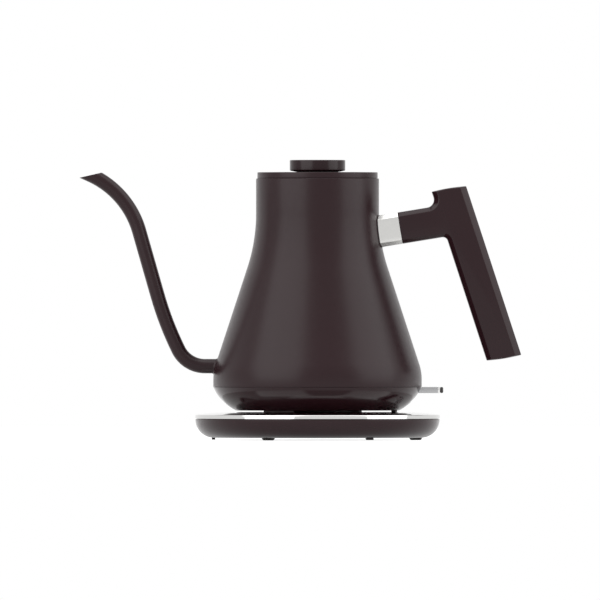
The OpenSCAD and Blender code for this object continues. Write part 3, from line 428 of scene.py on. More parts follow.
def make_powder_grain():
    """Orange-peel of a sprayed or moulded surface: a fine grain and a slow drift in tone."""
    settings = (("Grain per Metre", "NodeSocketFloat", 1500),
                ("Drift per Metre", "NodeSocketFloat", 18))
    group, nodes, links, entry, leave, place = start_effect("powder_grain", settings,
                                                            ("Tone", "Gloss", "Height"))
    grain = add_node(nodes, "ShaderNodeTexNoise", {"Detail": 2})
    drift = add_node(nodes, "ShaderNodeTexNoise", {"Detail": 3})
    peel = add_node(nodes, "ShaderNodeTexNoise", {"Detail": 1})
    coarse = add_node(nodes, "ShaderNodeMath", {1: PEEL_PER_GRAIN})
    coarse.operation = "MULTIPLY"
    blend = add_node(nodes, "ShaderNodeMix", {"Factor": PEEL_SHARE})
    for noise in (grain, drift, peel):
        links.new(place.outputs["Object"], noise.inputs["Vector"])
    links.new(entry.outputs["Grain per Metre"], grain.inputs["Scale"])
    links.new(entry.outputs["Drift per Metre"], drift.inputs["Scale"])
    links.new(entry.outputs["Grain per Metre"], coarse.inputs[0])
    links.new(coarse.outputs[0], peel.inputs["Scale"])
    links.new(drift.outputs["Fac"], leave.inputs["Tone"])
    links.new(peel.outputs["Fac"], leave.inputs["Gloss"])
    links.new(grain.outputs["Fac"], blend.inputs["A"])
    links.new(peel.outputs["Fac"], blend.inputs["B"])
    links.new(blend.outputs["Result"], leave.inputs["Height"])
    return group


def make_drawn_lines():
    """Fine lines left by turning or brushing, drawn out along chosen axes."""
    settings = (("Stretch", "NodeSocketVector", (1, 1, 1)),
                ("Lines per Metre", "NodeSocketFloat", 900))
    group, nodes, links, entry, leave, place = start_effect("drawn_lines", settings,
                                                            ("Tone", "Height"))
    draw = nodes.new("ShaderNodeVectorMath")
    draw.operation = "MULTIPLY"
    lines = add_node(nodes, "ShaderNodeTexNoise", {"Detail": 3})
    patches = add_node(nodes, "ShaderNodeTexNoise", {"Scale": PATCHES_PER_METRE, "Detail": 2})
    links.new(place.outputs["Object"], draw.inputs[0])
    links.new(entry.outputs["Stretch"], draw.inputs[1])
    links.new(draw.outputs[0], lines.inputs["Vector"])
    links.new(entry.outputs["Lines per Metre"], lines.inputs["Scale"])
    links.new(place.outputs["Object"], patches.inputs["Vector"])
    links.new(patches.outputs["Fac"], leave.inputs["Tone"])
    links.new(lines.outputs["Fac"], leave.inputs["Height"])
    return group


POWDER_GRAIN = make_powder_grain()
DRAWN_LINES = make_drawn_lines()


# ---------------------------------------- materials

NOISE_RANGE = (0.3, 0.7)


def between(nodes, links, source, low, high):
    """A value that runs from low to high as the source runs over its usual range."""
    span = add_node(nodes, "ShaderNodeMapRange", {
        "From Min": NOISE_RANGE[0], "From Max": NOISE_RANGE[1], "To Min": low, "To Max": high})
    links.new(source, span.inputs["Value"])
    return span.outputs["Result"]


def two_tone(nodes, links, source, dark, pale):
    """A colour that drifts between two close tones."""
    factor = between(nodes, links, source, 0.0, 1.0)
    tone = nodes.new("ShaderNodeMix")
    tone.data_type = "RGBA"
    tone.inputs["A"].default_value = (*dark, 1)
    tone.inputs["B"].default_value = (*pale, 1)
    links.new(factor, tone.inputs["Factor"])
    return tone.outputs["Result"]


def relief(nodes, links, source, strength, depth):
    """Normals that are tilted by the source's fine relief."""
    bump = add_node(nodes, "ShaderNodeBump", {"Strength": strength, "Distance": depth})
    links.new(source, bump.inputs["Height"])
    return bump.outputs["Normal"]


def finish(name, effect, settings, gloss, tones, rough, bump):
    """A material, and its shader, whose tone, gloss and relief come from a shared effect."""
    material = bpy.data.materials.new(name)
    material.use_nodes = True
    nodes, links = material.node_tree.nodes, material.node_tree.links
    shader = nodes["Principled BSDF"]
    skin = nodes.new("ShaderNodeGroup")
    skin.node_tree = effect
    for socket, value in settings.items():
        skin.inputs[socket].default_value = value
    links.new(two_tone(nodes, links, skin.outputs["Tone"], *tones), shader.inputs["Base Color"])
    links.new(between(nodes, links, skin.outputs[gloss], *rough), shader.inputs["Roughness"])
    links.new(relief(nodes, links, skin.outputs["Height"], *bump), shader.inputs["Normal"])
    return material, shader


def coated(name, dark, pale, rough, grain=1500, depth=0.02 * MM, strength=0.2, specular=0.5):
    """Sprayed or moulded finish with a fine grain."""
    material, shader = finish(name, POWDER_GRAIN, {"Grain per Metre": grain}, "Gloss",
                              (dark, pale), rough, (strength, depth))
    shader.inputs["Specular IOR Level"].default_value = specular
    return material


def metal(name, dark, pale, rough, stretch=(1, 1, 1), lines=900, depth=0.004 * MM, strength=0.1):
    """Bare metal with drawn or turned lines."""
    settings = {"Stretch": stretch, "Lines per Metre": lines}
    material, shader = finish(name, DRAWN_LINES, settings, "Height", (dark, pale), rough,
                              (strength, depth))
    shader.inputs["Metallic"].default_value = 1.0
    return material


BROWN_PAINT = coated("brown_satin_paint", (0.0113, 0.0033, 0.0045), (0.0124, 0.0037, 0.0051),
                     (0.28, 0.33), grain=1700, depth=0.012 * MM, specular=0.22)
BROWN_MOULDING = coated("brown_matt_moulding", (0.0116, 0.0034, 0.0046), (0.0128, 0.0039, 0.0053),
                        (0.19, 0.23), grain=2300, depth=0.010 * MM, specular=0.22)
GLOSSY_MOULDING = coated("brown_glossy_moulding", (0.0116, 0.0034, 0.0046),
                         (0.0128, 0.0039, 0.0053), (0.13, 0.16), grain=2300, depth=0.006 * MM,
                         specular=0.22)
DARK_MOULDING = coated("dark_moulding", (0.010, 0.007, 0.007), (0.014, 0.010, 0.010),
                       (0.45, 0.55), grain=2000, specular=0.35)
LEVER_CAP_PLASTIC = coated("lever_cap_plastic", (0.012, 0.010, 0.010), (0.016, 0.013, 0.013),
                           (0.30, 0.38), grain=2400, specular=0.5)
PALE_MOULDING = coated("pale_moulding", (0.70, 0.68, 0.62), (0.76, 0.74, 0.69),
                       (0.45, 0.55), grain=1600)
FOOT_RUBBER = coated("foot_rubber", (0.016, 0.012, 0.012), (0.022, 0.017, 0.017),
                     (0.62, 0.75), grain=1100, depth=0.03 * MM, specular=0.3)
SEAL_SILICONE = coated("seal_silicone", (0.10, 0.095, 0.09), (0.12, 0.115, 0.11),
                       (0.5, 0.6), grain=900, depth=0.02 * MM, specular=0.4)

POLISHED_STEEL = metal("polished_steel", (0.635, 0.632, 0.625), (0.655, 0.652, 0.645),
                       (0.05, 0.08), depth=0.001 * MM, strength=0.05)
COLLAR_STEEL = metal("collar_fine_satin_steel", (0.57, 0.567, 0.552), (0.60, 0.597, 0.582),
                     (0.20, 0.27), depth=0.001 * MM, strength=0.05)
LEVER_STEEL = metal("lever_satin_steel", (0.345, 0.345, 0.35), (0.385, 0.385, 0.39),
                    (0.24, 0.32), stretch=(0.06, 1, 1), lines=2500)
PLAIN_STEEL = metal("plain_steel", (0.48, 0.48, 0.47), (0.56, 0.56, 0.55),
                    (0.28, 0.40), stretch=(1, 1, 0.08), lines=1600)
INNER_STEEL = metal("inner_steel", (0.50, 0.50, 0.49), (0.57, 0.57, 0.56),
                    (0.25, 0.38), stretch=(0.10, 0.10, 1), lines=2200)
SHEATH_METAL = metal("sheath_metal", (0.20, 0.18, 0.17), (0.27, 0.25, 0.24),
                     (0.38, 0.52), lines=700)
CAST_ALUMINIUM = metal("cast_aluminium", (0.60, 0.61, 0.62), (0.68, 0.69, 0.70),
                       (0.35, 0.50), lines=500, depth=0.02 * MM)
CONTACT_COPPER = metal("contact_copper", (0.62, 0.33, 0.20), (0.72, 0.41, 0.26),
                       (0.20, 0.32), stretch=(1, 1, 0.1), lines=2000)
CONTACT_BRONZE = metal("contact_bronze", (0.56, 0.40, 0.20), (0.65, 0.48, 0.26),
                       (0.22, 0.34), lines=1500)

CAD_FINISHES = {
    "plug_housing": DARK_MOULDING, "plug_contacts": CONTACT_BRONZE, "base_screws": PLAIN_STEEL,
    "cord_gland": FOOT_RUBBER, "cord_clamp": DARK_MOULDING, "terminal_block": PALE_MOULDING,
    "contact_pin": CONTACT_COPPER, "contact_rings": CONTACT_COPPER,
    "vessel_floor": INNER_STEEL, "heat_spreader": CAST_ALUMINIUM,
    "heating_element": SHEATH_METAL, "element_terminals": PLAIN_STEEL,
    "bimetal_disc": CONTACT_BRONZE, "trip_pin": PALE_MOULDING, "control_body": DARK_MOULDING,
    "control_screws": PLAIN_STEEL, "skirt_screws": PLAIN_STEEL, "lever_pin": PLAIN_STEEL,
    "steam_tube": INNER_STEEL, "tube_grommet": SEAL_SILICONE, "tube_clip": PLAIN_STEEL,
    "handle_bracket": PLAIN_STEEL, "handle_tang": PLAIN_STEEL, "handle_screws": PLAIN_STEEL,
    "lid_liner": DARK_MOULDING, "lid_seal": SEAL_SILICONE, "knob_screw": PLAIN_STEEL,
}


def finish_cad_nodes():
    """Gives the inner nodes, which have no skin of their own, their materials."""
    for name, material in CAD_FINISHES.items():
        slots = NODES[name].data.materials
        slots.clear()
        slots.append(material)


def dress(piece, material, record_slot, body, *cad_nodes):
    """Gives a piece its material and its body, and hides the CAD nodes that it stands for."""
    piece.data.materials.append(material)
    if cad_nodes:
        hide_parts(*cad_nodes)
    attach(piece, body)


# ---------------------------------------- vessel

def vessel_numbers():
    """The cone's slope, and the heights at which the curves of neck and belly begin."""
    neck_corner_z = RIM_Z - NECK_H
    belly_corner_z = SEAM_Z + BELLY_H
    cone = math.degrees(math.atan((BELLY_R - NECK_R) / (neck_corner_z - belly_corner_z)))
    neck_z = neck_corner_z + NECK_CURVE_R * math.tan(deg(cone / 2))
    belly_z = belly_corner_z - BELLY_CURVE_R * math.tan(deg(cone / 2))
    return cone, neck_z, belly_z


CONE_A, NECK_CURVE_Z, BELLY_CURVE_Z = vessel_numbers()


def vessel_line(inset, top_z):
    """The wall's outline from the rim down to the seam, moved inwards by inset."""
    line = [(NECK_R - inset, top_z)]
    line += arc(NECK_R + NECK_CURVE_R, NECK_CURVE_Z, NECK_CURVE_R + inset, 180, 180 + CONE_A, 28)
    line += arc(BELLY_R - BELLY_CURVE_R, BELLY_CURVE_Z, BELLY_CURVE_R - inset, CONE_A, 0, 16)
    return line + [(BELLY_R - inset, SEAM_Z)]


def vessel_radius(z):
    """Outer radius of the vessel at a height."""
    line = vessel_line(0, RIM_Z)
    for (r0, z0), (r1, z1) in zip(line, line[1:]):
        if z1 <= z <= z0 and z0 > z1:
            return r0 + (r1 - r0) * (z0 - z) / (z0 - z1)
    return NECK_R if z > RIM_Z else line[-1][0]


def make_vessel():
    edge = arc(NECK_R - RIM_EDGE_R, RIM_Z - RIM_EDGE_R, RIM_EDGE_R, 90, 0, 5)
    lip = arc(MOUTH_R + VESSEL_WALL / 2, RIM_Z - VESSEL_WALL / 2, VESSEL_WALL / 2, 270, 90, 6)
    outside = edge + vessel_line(0, RIM_Z - RIM_EDGE_R)[1:-1]
    outside += arc(BELLY_R - SEAM_EDGE_R, SEAM_Z + SEAM_EDGE_R, SEAM_EDGE_R, 0, -90, 4)
    inside = vessel_line(VESSEL_WALL, RIM_Z - VESSEL_WALL)
    shell = lathe("vessel_skin", lip + outside + inside[::-1])
    cut(shell, level_rod("spout_hole", SPOUT_R - SPOUT_HOLE_LESS,
                         (AXIS_X - BELLY_R - CUT_OVER, 0, SPOUT_Z),
                         (AXIS_X - BELLY_R / 2, 0, SPOUT_Z)))
    dress(shell, BROWN_PAINT, "paint", "kettle", "vessel_shell")
    # Inside, the wall is bare steel.
    shell.data.materials.append(INNER_STEEL)
    inner_top = RIM_Z - VESSEL_WALL * INNER_TOP
    for face in shell.data.polygons:
        c = face.center
        r = math.hypot(c.x - AXIS_X, c.y)
        if c.z < inner_top and r < vessel_radius(c.z) - VESSEL_WALL * INNER_SIDE:
            face.material_index = 1


# ---------------------------------------- spout

def go_on(station, length):
    """The station a straight length further on: distance from the axis, height and heading."""
    out, z, heading = station
    return out + length * math.cos(deg(heading)), z + length * math.sin(deg(heading)), heading


def turn_up(station, r, a):
    """The station after an upward bend by radius and angle."""
    out, z, heading = station
    h0, h1 = deg(heading), deg(heading + a)
    return (out + r * (math.sin(h1) - math.sin(h0)), z + r * (math.cos(h0) - math.cos(h1)),
            heading + a)


def make_spout():
    """The bent tube: its lines run on, bent and then straight, to the mouth's own plane."""
    sides, low_steps, mid_steps, top_steps = 64, 24, 8, 40
    reach = AXIS_X - SPOUT_LOW.x
    bend_r, bend_a = BEND_TOP[0], deg(BEND_TOP[1])
    root = (SPOUT_ROOT, SPOUT_Z, 0)
    low = turn_up(root, *BEND_LOW)
    mid = turn_up(low, *BEND_MID)
    run = go_on(mid, SPOUT_RUN)
    heading = deg(run[2])
    centre = Vector((run[0] + bend_r * math.sin(heading), run[1] - bend_r * math.cos(heading)))
    start_a = heading + math.pi / 2
    end_a = start_a - bend_a
    way_out = Vector((math.cos(heading - bend_a), math.sin(heading - bend_a)))
    across = Vector((math.sin(deg(MOUTH_CUT_A)), math.cos(deg(MOUTH_CUT_A))))

    def bend_point(g, a):
        return centre + g * Vector((math.cos(a), math.sin(a)))

    tip_foot = bend_point(bend_r - SPOUT_R, end_a)
    tip = tip_foot + way_out * (reach - tip_foot.x) / way_out.x
    cut_d = tip.dot(across)

    def line_point(g, f, lift):
        """The fraction f of the way from the bend's start to the mouth, along the line at g."""
        past = (cut_d + lift - bend_point(g, end_a).dot(across)) / way_out.dot(across)
        bent = g * bend_a
        if past < 0:
            end = math.pi / 2 - deg(MOUTH_CUT_A)
            end += math.acos((cut_d + lift - centre.dot(across)) / g)
            length = g * (start_a - end)
        else:
            length = bent + past
        if f * length < bent:
            return bend_point(g, start_a - f * length / g)
        return bend_point(g, end_a) + way_out * (f * length - bent)

    def plain_ring(station, r):
        out, z, heading = station
        h = deg(heading)
        return [(AXIS_X - (out - r * math.cos(v) * math.sin(h)), r * math.sin(v),
                 z + r * math.cos(v) * math.cos(h)) for v in turns(sides)]

    def top_ring(f, r, lift=0.0):
        ring = []
        for v in turns(sides):
            p = line_point(bend_r + r * math.cos(v), f, lift)
            ring.append((AXIS_X - p.x, r * math.sin(v), p.y))
        return ring

    stations = [(SPOUT_ROOT - SPOUT_STUB, SPOUT_Z, 0)]
    stations += [turn_up(root, BEND_LOW[0], BEND_LOW[1] * i / low_steps)
                 for i in range(low_steps + 1)]
    stations += [turn_up(low, BEND_MID[0], BEND_MID[1] * i / mid_steps)
                 for i in range(1, mid_steps + 1)]
    edge, corner = MOUTH_EDGE, MOUTH_EDGE * 0.3
    bore = SPOUT_R - SPOUT_WALL
    rings = [plain_ring(station, SPOUT_R) for station in stations]
    rings += [top_ring(i / top_steps, SPOUT_R, -edge) for i in range(top_steps + 1)]
    rings += [top_ring(1, SPOUT_R - corner, -corner), top_ring(1, SPOUT_R - edge)]
    rings += [top_ring(1, bore + edge), top_ring(1, bore + corner, -corner)]
    rings += [top_ring(i / top_steps, bore, -edge) for i in range(top_steps, -1, -1)]
    rings += [plain_ring(station, bore) for station in reversed(stations)]
    spout = new_piece("spout_tube", *closed_grid(rings), smooth_angle=40)
    dress(spout, BROWN_PAINT, "paint", "kettle", "spout")


def make_spout_root():
    """Small painted fillet where the tube is welded to the belly."""
    sides, steps = 96, 8
    rings = []
    for a in turns(sides):
        ring = []
        for i in range(steps + 1):
            t = i / steps
            r = SPOUT_R + SPOUT_FILLET * t * t
            y, dz = r * math.cos(a), r * math.sin(a)
            wall_r = vessel_radius(SPOUT_Z + dz)
            x = math.sqrt(wall_r ** 2 - y ** 2) + SPOUT_FILLET * (1 - t) ** 2
            ring.append((AXIS_X - x, y, SPOUT_Z + dz))
        y, dz = SPOUT_R * math.cos(a), SPOUT_R * math.sin(a)
        x = math.sqrt(vessel_radius(SPOUT_Z + dz) ** 2 - y ** 2) - VESSEL_WALL / 2
        ring.append((AXIS_X - x, y * SPOUT_FILLET_SINK, SPOUT_Z + dz * SPOUT_FILLET_SINK))
        rings.append(ring)
    fillet = new_piece("spout_root_fillet", *closed_grid(rings), smooth_angle=50)
    dress(fillet, BROWN_PAINT, "paint", "kettle")


# ---------------------------------------- skirt and pads

def skirt_line(inset, low_z):
    """The skirt's long arc, slightly fuller at mid height, from the seam down to a height."""
    top_z = SEAM_Z - SEAM_GAP
    chord = Vector((BELLY_R - SKIRT_FOOT_R, top_z - SKIRT_Z))
    bow = math.sqrt(SKIRT_CURVE_R ** 2 - (chord.length / 2) ** 2) / chord.length
    cx = (BELLY_R + SKIRT_FOOT_R) / 2 - chord.y * bow
    cz = (top_z + SKIRT_Z) / 2 + chord.x * bow
    r = SKIRT_CURVE_R - inset
    line = arc(cx, cz, r, -math.degrees(math.asin((cz - top_z) / r)),
               -math.degrees(math.asin((cz - low_z) / r)), 40)
    return [(x + SKIRT_FULL * math.exp(-((z - SKIRT_FULL_Z) / SKIRT_FULL_H) ** 2), z)
            for x, z in line]


def make_skirt():
    outer = skirt_line(0, SKIRT_Z)
    inner = skirt_line(SKIRT_WALL, SKIRT_Z + SKIRT_WALL)[::-1]
    spigot_low = SEAM_Z - SEAM_GAP - SPIGOT_ROOT
    inner = [p for p in inner if p[1] < spigot_low - SPIGOT_CLEAR]
    spigot_r = BELLY_R - VESSEL_WALL - SLIP_GAP
    outline = outer + [(SKIRT_HOLE_R, SKIRT_Z), (SKIRT_HOLE_R, SKIRT_Z + SKIRT_WALL)] + inner
    outline += [(spigot_r - SPIGOT_T, spigot_low), (spigot_r - SPIGOT_T, SEAM_Z + SPIGOT_H),
                (spigot_r, SEAM_Z + SPIGOT_H), (spigot_r, SEAM_Z - SEAM_GAP)]
    skirt = lathe("skirt_skin", rounded(outline, SEAM_EDGE_R, 4))
    half_w = TIP_HIGH.y + LEVER_SLOT_GAP
    travel = (TIP_HIGH.x - AXIS_X - LEVER_PIVOT_X) * math.sin(deg(LEVER_TRAVEL_A))
    cut(skirt, block("lever_slot",
                     (AXIS_X + LEVER_SLOT_IN_R, -half_w, LEVER_LOW.z - travel + LEVER_SLOT_GAP),
                     (AXIS_X + BELLY_R + CUT_OVER, half_w, SEAM_Z + LEVER_SLOT_OVER_SEAM)))
    dress(skirt, GLOSSY_MOULDING, "moulding", "kettle", "bottom_skirt")


def make_pads():
    """Three soft arc pads let into the skirt's underside."""
    low_z, high_z = PAD_LOW.z - PLATE_SEAT_DROP, PAD_HIGH.z
    in_r, out_r = PAD_CIRCLE_R - PAD_W / 2, PAD_CIRCLE_R + PAD_W / 2
    section = rounded([(in_r, high_z), (in_r, low_z), (out_r, low_z), (out_r, high_z)],
                      PAD_EDGE_R, 4)
    m = len(section)
    verts, faces = [], []
    steps = 20
    for turn in (0, 120, 240):
        first = len(verts)
        for i in range(steps + 1):
            a = deg(turn + PAD_SPAN_A * (i / steps - 0.5))
            for r, z in section:
                verts.append((AXIS_X + r * math.cos(a), r * math.sin(a), z))
        for i in range(steps):
            faces += ring_faces(first + i * m, first + (i + 1) * m, m)
        faces.append(tuple(range(first, first + m)))
        faces.append(tuple(range(first + steps * m, first + (steps + 1) * m)))
    pads = new_piece("skirt_pads", verts, faces)
    dress(pads, FOOT_RUBBER, "rubber", "kettle", "kettle_pads")


# ---------------------------------------- power base

def make_tub():
    """Moulded tub: lip inside the plate's rim, screw wells, stop ribs and the gland's hole."""
    z0 = TUB_UNDER_Z
    top = TUB_RIM_Z
    outer = arc(TUB_R - TUB_EDGE_R, z0 + TUB_EDGE_R, TUB_EDGE_R, -90, 0, 24)
    inner = arc(TUB_R - TUB_EDGE_R, z0 + TUB_EDGE_R, TUB_EDGE_R - TUB_WALL, 0, -90, 16)
    edge = arc(TUB_R - TUB_RIM_EDGE_R, top - TUB_RIM_EDGE_R, TUB_RIM_EDGE_R, 0, 90, 3)
    lip_r = PLATE_R - PLATE_T - SLIP_GAP
    lip = [(lip_r - TUB_LIP_GAP, top), (lip_r - TUB_LIP_GAP, top + TUB_LIP_H),
           (lip_r - TUB_LIP_IN, top + TUB_LIP_H), (TUB_R - TUB_WALL, top - TUB_LIP_SINK)]
    outline = [(0, z0)] + outer + edge + lip + inner + [(0, z0 + TUB_WALL)]
    tub = lathe("tub_skin", outline)
    hole = level_rod("gland_hole", GLAND_HOLE_R, (AXIS_X, GLAND_LOW.y, GLAND_Z),
                     (AXIS_X, GLAND_HIGH.y + CUT_OVER, GLAND_Z))
    roof = z0 + SCREW_WELL_H
    well = [(0, 0), (SCREW_WELL_R, 0), (SCREW_WELL_R, roof), (0, roof)]
    wells, stops = [], []
    for turn in (60, 180, 300):
        way = Vector((math.cos(deg(turn)), math.sin(deg(turn))))
        wells.append(lathe("screw_well", well, 48, tuple(way * SCREW_CIRCLE_R)))
        stops.append(make_stop(way, z0))
    cut(tub, hole, *wells)
    combine(tub, "UNION", stops)
    tidy_mesh(tub)
    dress(tub, BROWN_MOULDING, "moulding", "base", "base_tub")


def make_stop(way, tub_z):
    """A short moulded rib that keeps the base level when it is pressed at its edge."""
    stop = block("stop_rib", (-STOP_RIB[0] / 2, -STOP_RIB[1] / 2, TUB_LOW.z),
                 (STOP_RIB[0] / 2, STOP_RIB[1] / 2, tub_z + TUB_WALL / 2))
    bevel(stop, STOP_BEVEL)
    side = Vector((-way.y, way.x))
    for v in stop.data.vertices:
        p = way * (STOP_CIRCLE_R + v.co.x) + side * v.co.y
        v.co.x, v.co.y = AXIS_X + p.x, p.y
    return stop


def make_plate():
    """Pressed top plate: upright rim, shallow cone, level ring and raised seat, edges rounded."""
    rim_z = TUB_RIM_Z + PLATE_RIM_H
    low_z = TUB_RIM_Z + PLATE_LIFT
    ring_z = SEAT_Z - PLATE_RING_DROP
    seat_z = SEAT_Z - PLATE_SEAT_DROP
    top_ease, foot_ease, ring_ease = PLATE_STEP_EASE
    hem_in, hem_drop = PLATE_HEM
    top = [(PLATE_HOLE_R, seat_z), (PLATE_SEAT_R - PLATE_STEP_EASE_W, seat_z),
           (PLATE_SEAT_R - PLATE_STEP_W, seat_z - top_ease),
           (PLATE_SEAT_R + PLATE_STEP_W, ring_z + foot_ease),
           (PLATE_SEAT_R + PLATE_STEP_EASE_W, ring_z + ring_ease),
           (PLATE_RING_OUT_R - PLATE_BEND_W, ring_z),
           (PLATE_RING_OUT_R, ring_z - PLATE_BEND_FALL[0])]
    rim = rounded([(PLATE_RING_OUT_R + PLATE_BEND_W, ring_z - PLATE_BEND_FALL[1]),
                   (PLATE_R, rim_z), (PLATE_R, low_z)], PLATE_RIM_EDGE_R, 8, closed=False)
    under = [(PLATE_R - hem_in, low_z - hem_drop), (PLATE_R - PLATE_T, low_z - hem_drop),
             (PLATE_R - PLATE_T, rim_z - PLATE_T), (PLATE_FLAT_R, ring_z - PLATE_T),
             (PLATE_HOLE_R, ring_z - PLATE_T)]
    plate = lathe("top_plate_skin", top + rim + under)
    dress(plate, POLISHED_STEEL, "polished_steel", "base", "base_plate")


def make_feet():
    """Three rubber feet, tapered below, that follow the tub's underside."""
    rings = [(FOOT_R - FOOT_FLARE, 0.0), (FOOT_R - FOOT_FLARE + FOOT_TOE[0], FOOT_TOE[1]),
             (FOOT_R - FOOT_SHOULDER[0], FOOT_FLARE - FOOT_SHOULDER[1]),
             (FOOT_R, FOOT_FLARE), (FOOT_R, None)]
    verts, faces = [], []
    steps = 48
    for turn in (0, 120, 240):
        centre_x = FOOT_CIRCLE_R * math.cos(deg(turn))
        centre_y = FOOT_CIRCLE_R * math.sin(deg(turn))
        first = len(verts)
        for radius, z in rings:
            for a in turns(steps):
                x, y = centre_x + radius * math.cos(a), centre_y + radius * math.sin(a)
                height = tub_underside(math.hypot(x, y)) if z is None else z
                verts.append((AXIS_X + x, y, height))
        last = len(rings) - 1
        for j in range(last):
            faces += ring_faces(first + j * steps, first + (j + 1) * steps, steps)
        faces.append(tuple(range(first, first + steps)))
        faces.append(tuple(range(first + last * steps, first + (last + 1) * steps)))
    feet = new_piece("rubber_feet", verts, faces, smooth_angle=40)
    dress(feet, FOOT_RUBBER, "rubber", "base", "base_feet")


def tub_underside(r):
    """Height of the tub's outer surface at a radius."""
    flat = TUB_R - TUB_EDGE_R
    if r <= flat:
        return TUB_UNDER_Z
    return TUB_UNDER_Z + TUB_EDGE_R - math.sqrt(TUB_EDGE_R ** 2 - (r - flat) ** 2)


# ---------------------------------------- lid

def make_lid():
    outline = [(0, LID_HIGH.z), (LID_R, LID_HIGH.z), (LID_R, LID_LOW.z),
               (LID_R - LID_T, LID_LOW.z), (LID_R - LID_T, LID_HIGH.z - LID_T),
               (0, LID_HIGH.z - LID_T)]
    cap = lathe("lid_skin", rounded(outline, LID_EDGE_R, 5, closed=False))
    dress(cap, BROWN_PAINT, "paint", "lid", "lid_cap")


def make_knob():
    outline = [(0, KNOB_HIGH.z), (KNOB_R, KNOB_HIGH.z), (KNOB_R, KNOB_LOW.z), (0, KNOB_LOW.z)]
    knob = lathe("knob_skin", rounded(outline, KNOB_EDGE_R, 6, closed=False))
    dress(knob, BROWN_MOULDING, "moulding", "lid", "lid_knob")


def make_spacer():
    """Shadowed disc under the knob, which tapers down to the lid."""
    low, high = SPACER_LOW.z, SPACER_HIGH.z
    foot_w, foot_h = SPACER_FOOT_EDGE
    top_w, top_h = SPACER_TOP_EDGE
    outline = [(0, low), (SPACER_FOOT_R, low), (SPACER_FOOT_R + foot_w, low + foot_h),
               (SPACER_R, high - top_h), (KNOB_R - top_w, high), (0, high)]
    spacer = lathe("knob_collar", outline, 192)
    dress(spacer, DARK_MOULDING, "dark_plastic", "lid", "knob_spacer")


# ---------------------------------------- handle

ARM_JOINT_Z = SEAM_Z + ARM_JOINT_RISE
LEAN_A = GRIP_A - ARM_A
ARM_ALONG = Vector((math.cos(deg(ARM_A)), math.sin(deg(ARM_A))))
ARM_UP = Vector((-math.sin(deg(ARM_A)), math.cos(deg(ARM_A))))


def arm_point(along, up):
    """A point of the handle's side view, from the arm's own frame to (x, z)."""
    p = Vector((AXIS_X + ARM_JOINT_X, ARM_JOINT_Z)) + ARM_ALONG * along + ARM_UP * up
    return p.x, p.y


def handle_outline():
    """The side view as (point, inset point) pairs; the inset is the chamfer's width."""
    lean = deg(LEAN_A)
    tan, cos = math.tan(lean), math.cos(lean)
    half = ARM_H / 2
    c_arm, c_in, c_out = ARM_CHAMFER, GRIP_CHAMFER_IN, GRIP_CHAMFER_OUT
    steps = 8

    def edge_x(offset, z):
        """Where a line parallel to the grip, offset outwards from its middle, is at height z."""
        return ARM_LEN + offset / cos - z * tan

    inner, outer = -GRIP_W / 2, GRIP_W / 2
    pairs = []

    def add(x, z, ix, iz):
        pairs.append((arm_point(x, z), arm_point(ix, iz)))

    def hollow(r, centre_z, start, sweep, c_start, c_end, count):
        """A fillet between arm and grip, over which one chamfer's width becomes the other's."""
        centre_x = edge_x(inner, centre_z) - r / cos
        for i in range(count + 1):
            t = i / count
            a = start + sweep * t
            c = c_start + (c_end - c_start) * t
            add(centre_x + r * math.cos(a), centre_z + r * math.sin(a),
                centre_x + (r + c) * math.cos(a), centre_z + (r + c) * math.sin(a))

    # Upper hollow: from the arm's top edge round to the grip's inner edge.
    add(0, half, 0, half - c_arm)
    hollow(HORN_FILLET_R, half + HORN_FILLET_R, deg(-90), math.pi / 2 + lean, c_arm, c_in, 10)
    # The grip's two ends, crowned about its middle line.
    for side, height in ((1, GRIP_UP * cos), (-1, GRIP_DOWN * cos)):
        edges = (inner, inner + c_in), (outer, outer - c_out)
        (start, start_in), (end, end_in) = edges[::side]
        middle = edge_x(0, side * height)
        for i in range(steps + 1):
            t = i / steps
            point = []
            for offset in (start + (end - start) * t, start_in + (end_in - start_in) * t):
                x = edge_x(offset, side * height)
                drop = GRIP_CROWN_R - math.sqrt(GRIP_CROWN_R ** 2 - (x - middle) ** 2)
                point += [x, side * (height - drop)]
            add(point[0], point[1], point[2], point[3] - side * GRIP_CHAMFER_END)
    # Lower hollow: from the grip's inner edge round to the arm's lower edge.
    hollow(CROOK_FILLET_R, -half - CROOK_FILLET_R, lean, math.pi / 2 - lean, c_in, c_arm, 8)
    add(0, -half, 0, -half + c_arm)
    return pairs


def make_grip():
    """Arm and grip in one moulding, with the broad chamfers that the hand meets."""
    pairs = handle_outline()
    n = len(pairs)
    verts, faces = [], []
    for side in (-1, 1):
        first = len(verts)
        for ring in range(GRIP_EDGE_STEPS + 2):
            verts += [grip_point(pair, ring, side) for pair in pairs]
        faces.append(tuple(range(first, first + n)))
        for start in range(first, len(verts) - n, n):
            faces += ring_faces(start, start + n, n)
    faces += ring_faces(len(verts) // 2 - n, len(verts) - n, n)
    grip = new_piece("handle_skin", verts, faces)
    bevel(grip, GRIP_BEVEL)
    dress(grip, BROWN_MOULDING, "moulding", "kettle", "handle_grip")


def grip_point(pair, ring, side):
    """Ring 0 edges the flat side; the others round the chamfer over into the narrow wall."""
    (x, z), (flat_x, flat_z) = pair
    wall_y = HANDLE_D / 2 - chamfer_depth(pair)
    flat = Vector((flat_x, side * HANDLE_D / 2, flat_z))
    if ring == 0:
        return tuple(flat)
    corner = Vector((x, side * wall_y, z))
    on_wall = Vector((x, side * (wall_y - GRIP_EDGE_R), z))
    reach = flat - corner
    on_chamfer = corner + reach.normalized() * min(GRIP_EDGE_R, reach.length * 0.5)
    t = (ring - 1) / GRIP_EDGE_STEPS
    return tuple(on_chamfer * (1 - t) ** 2 + corner * 2 * t * (1 - t) + on_wall * t ** 2)


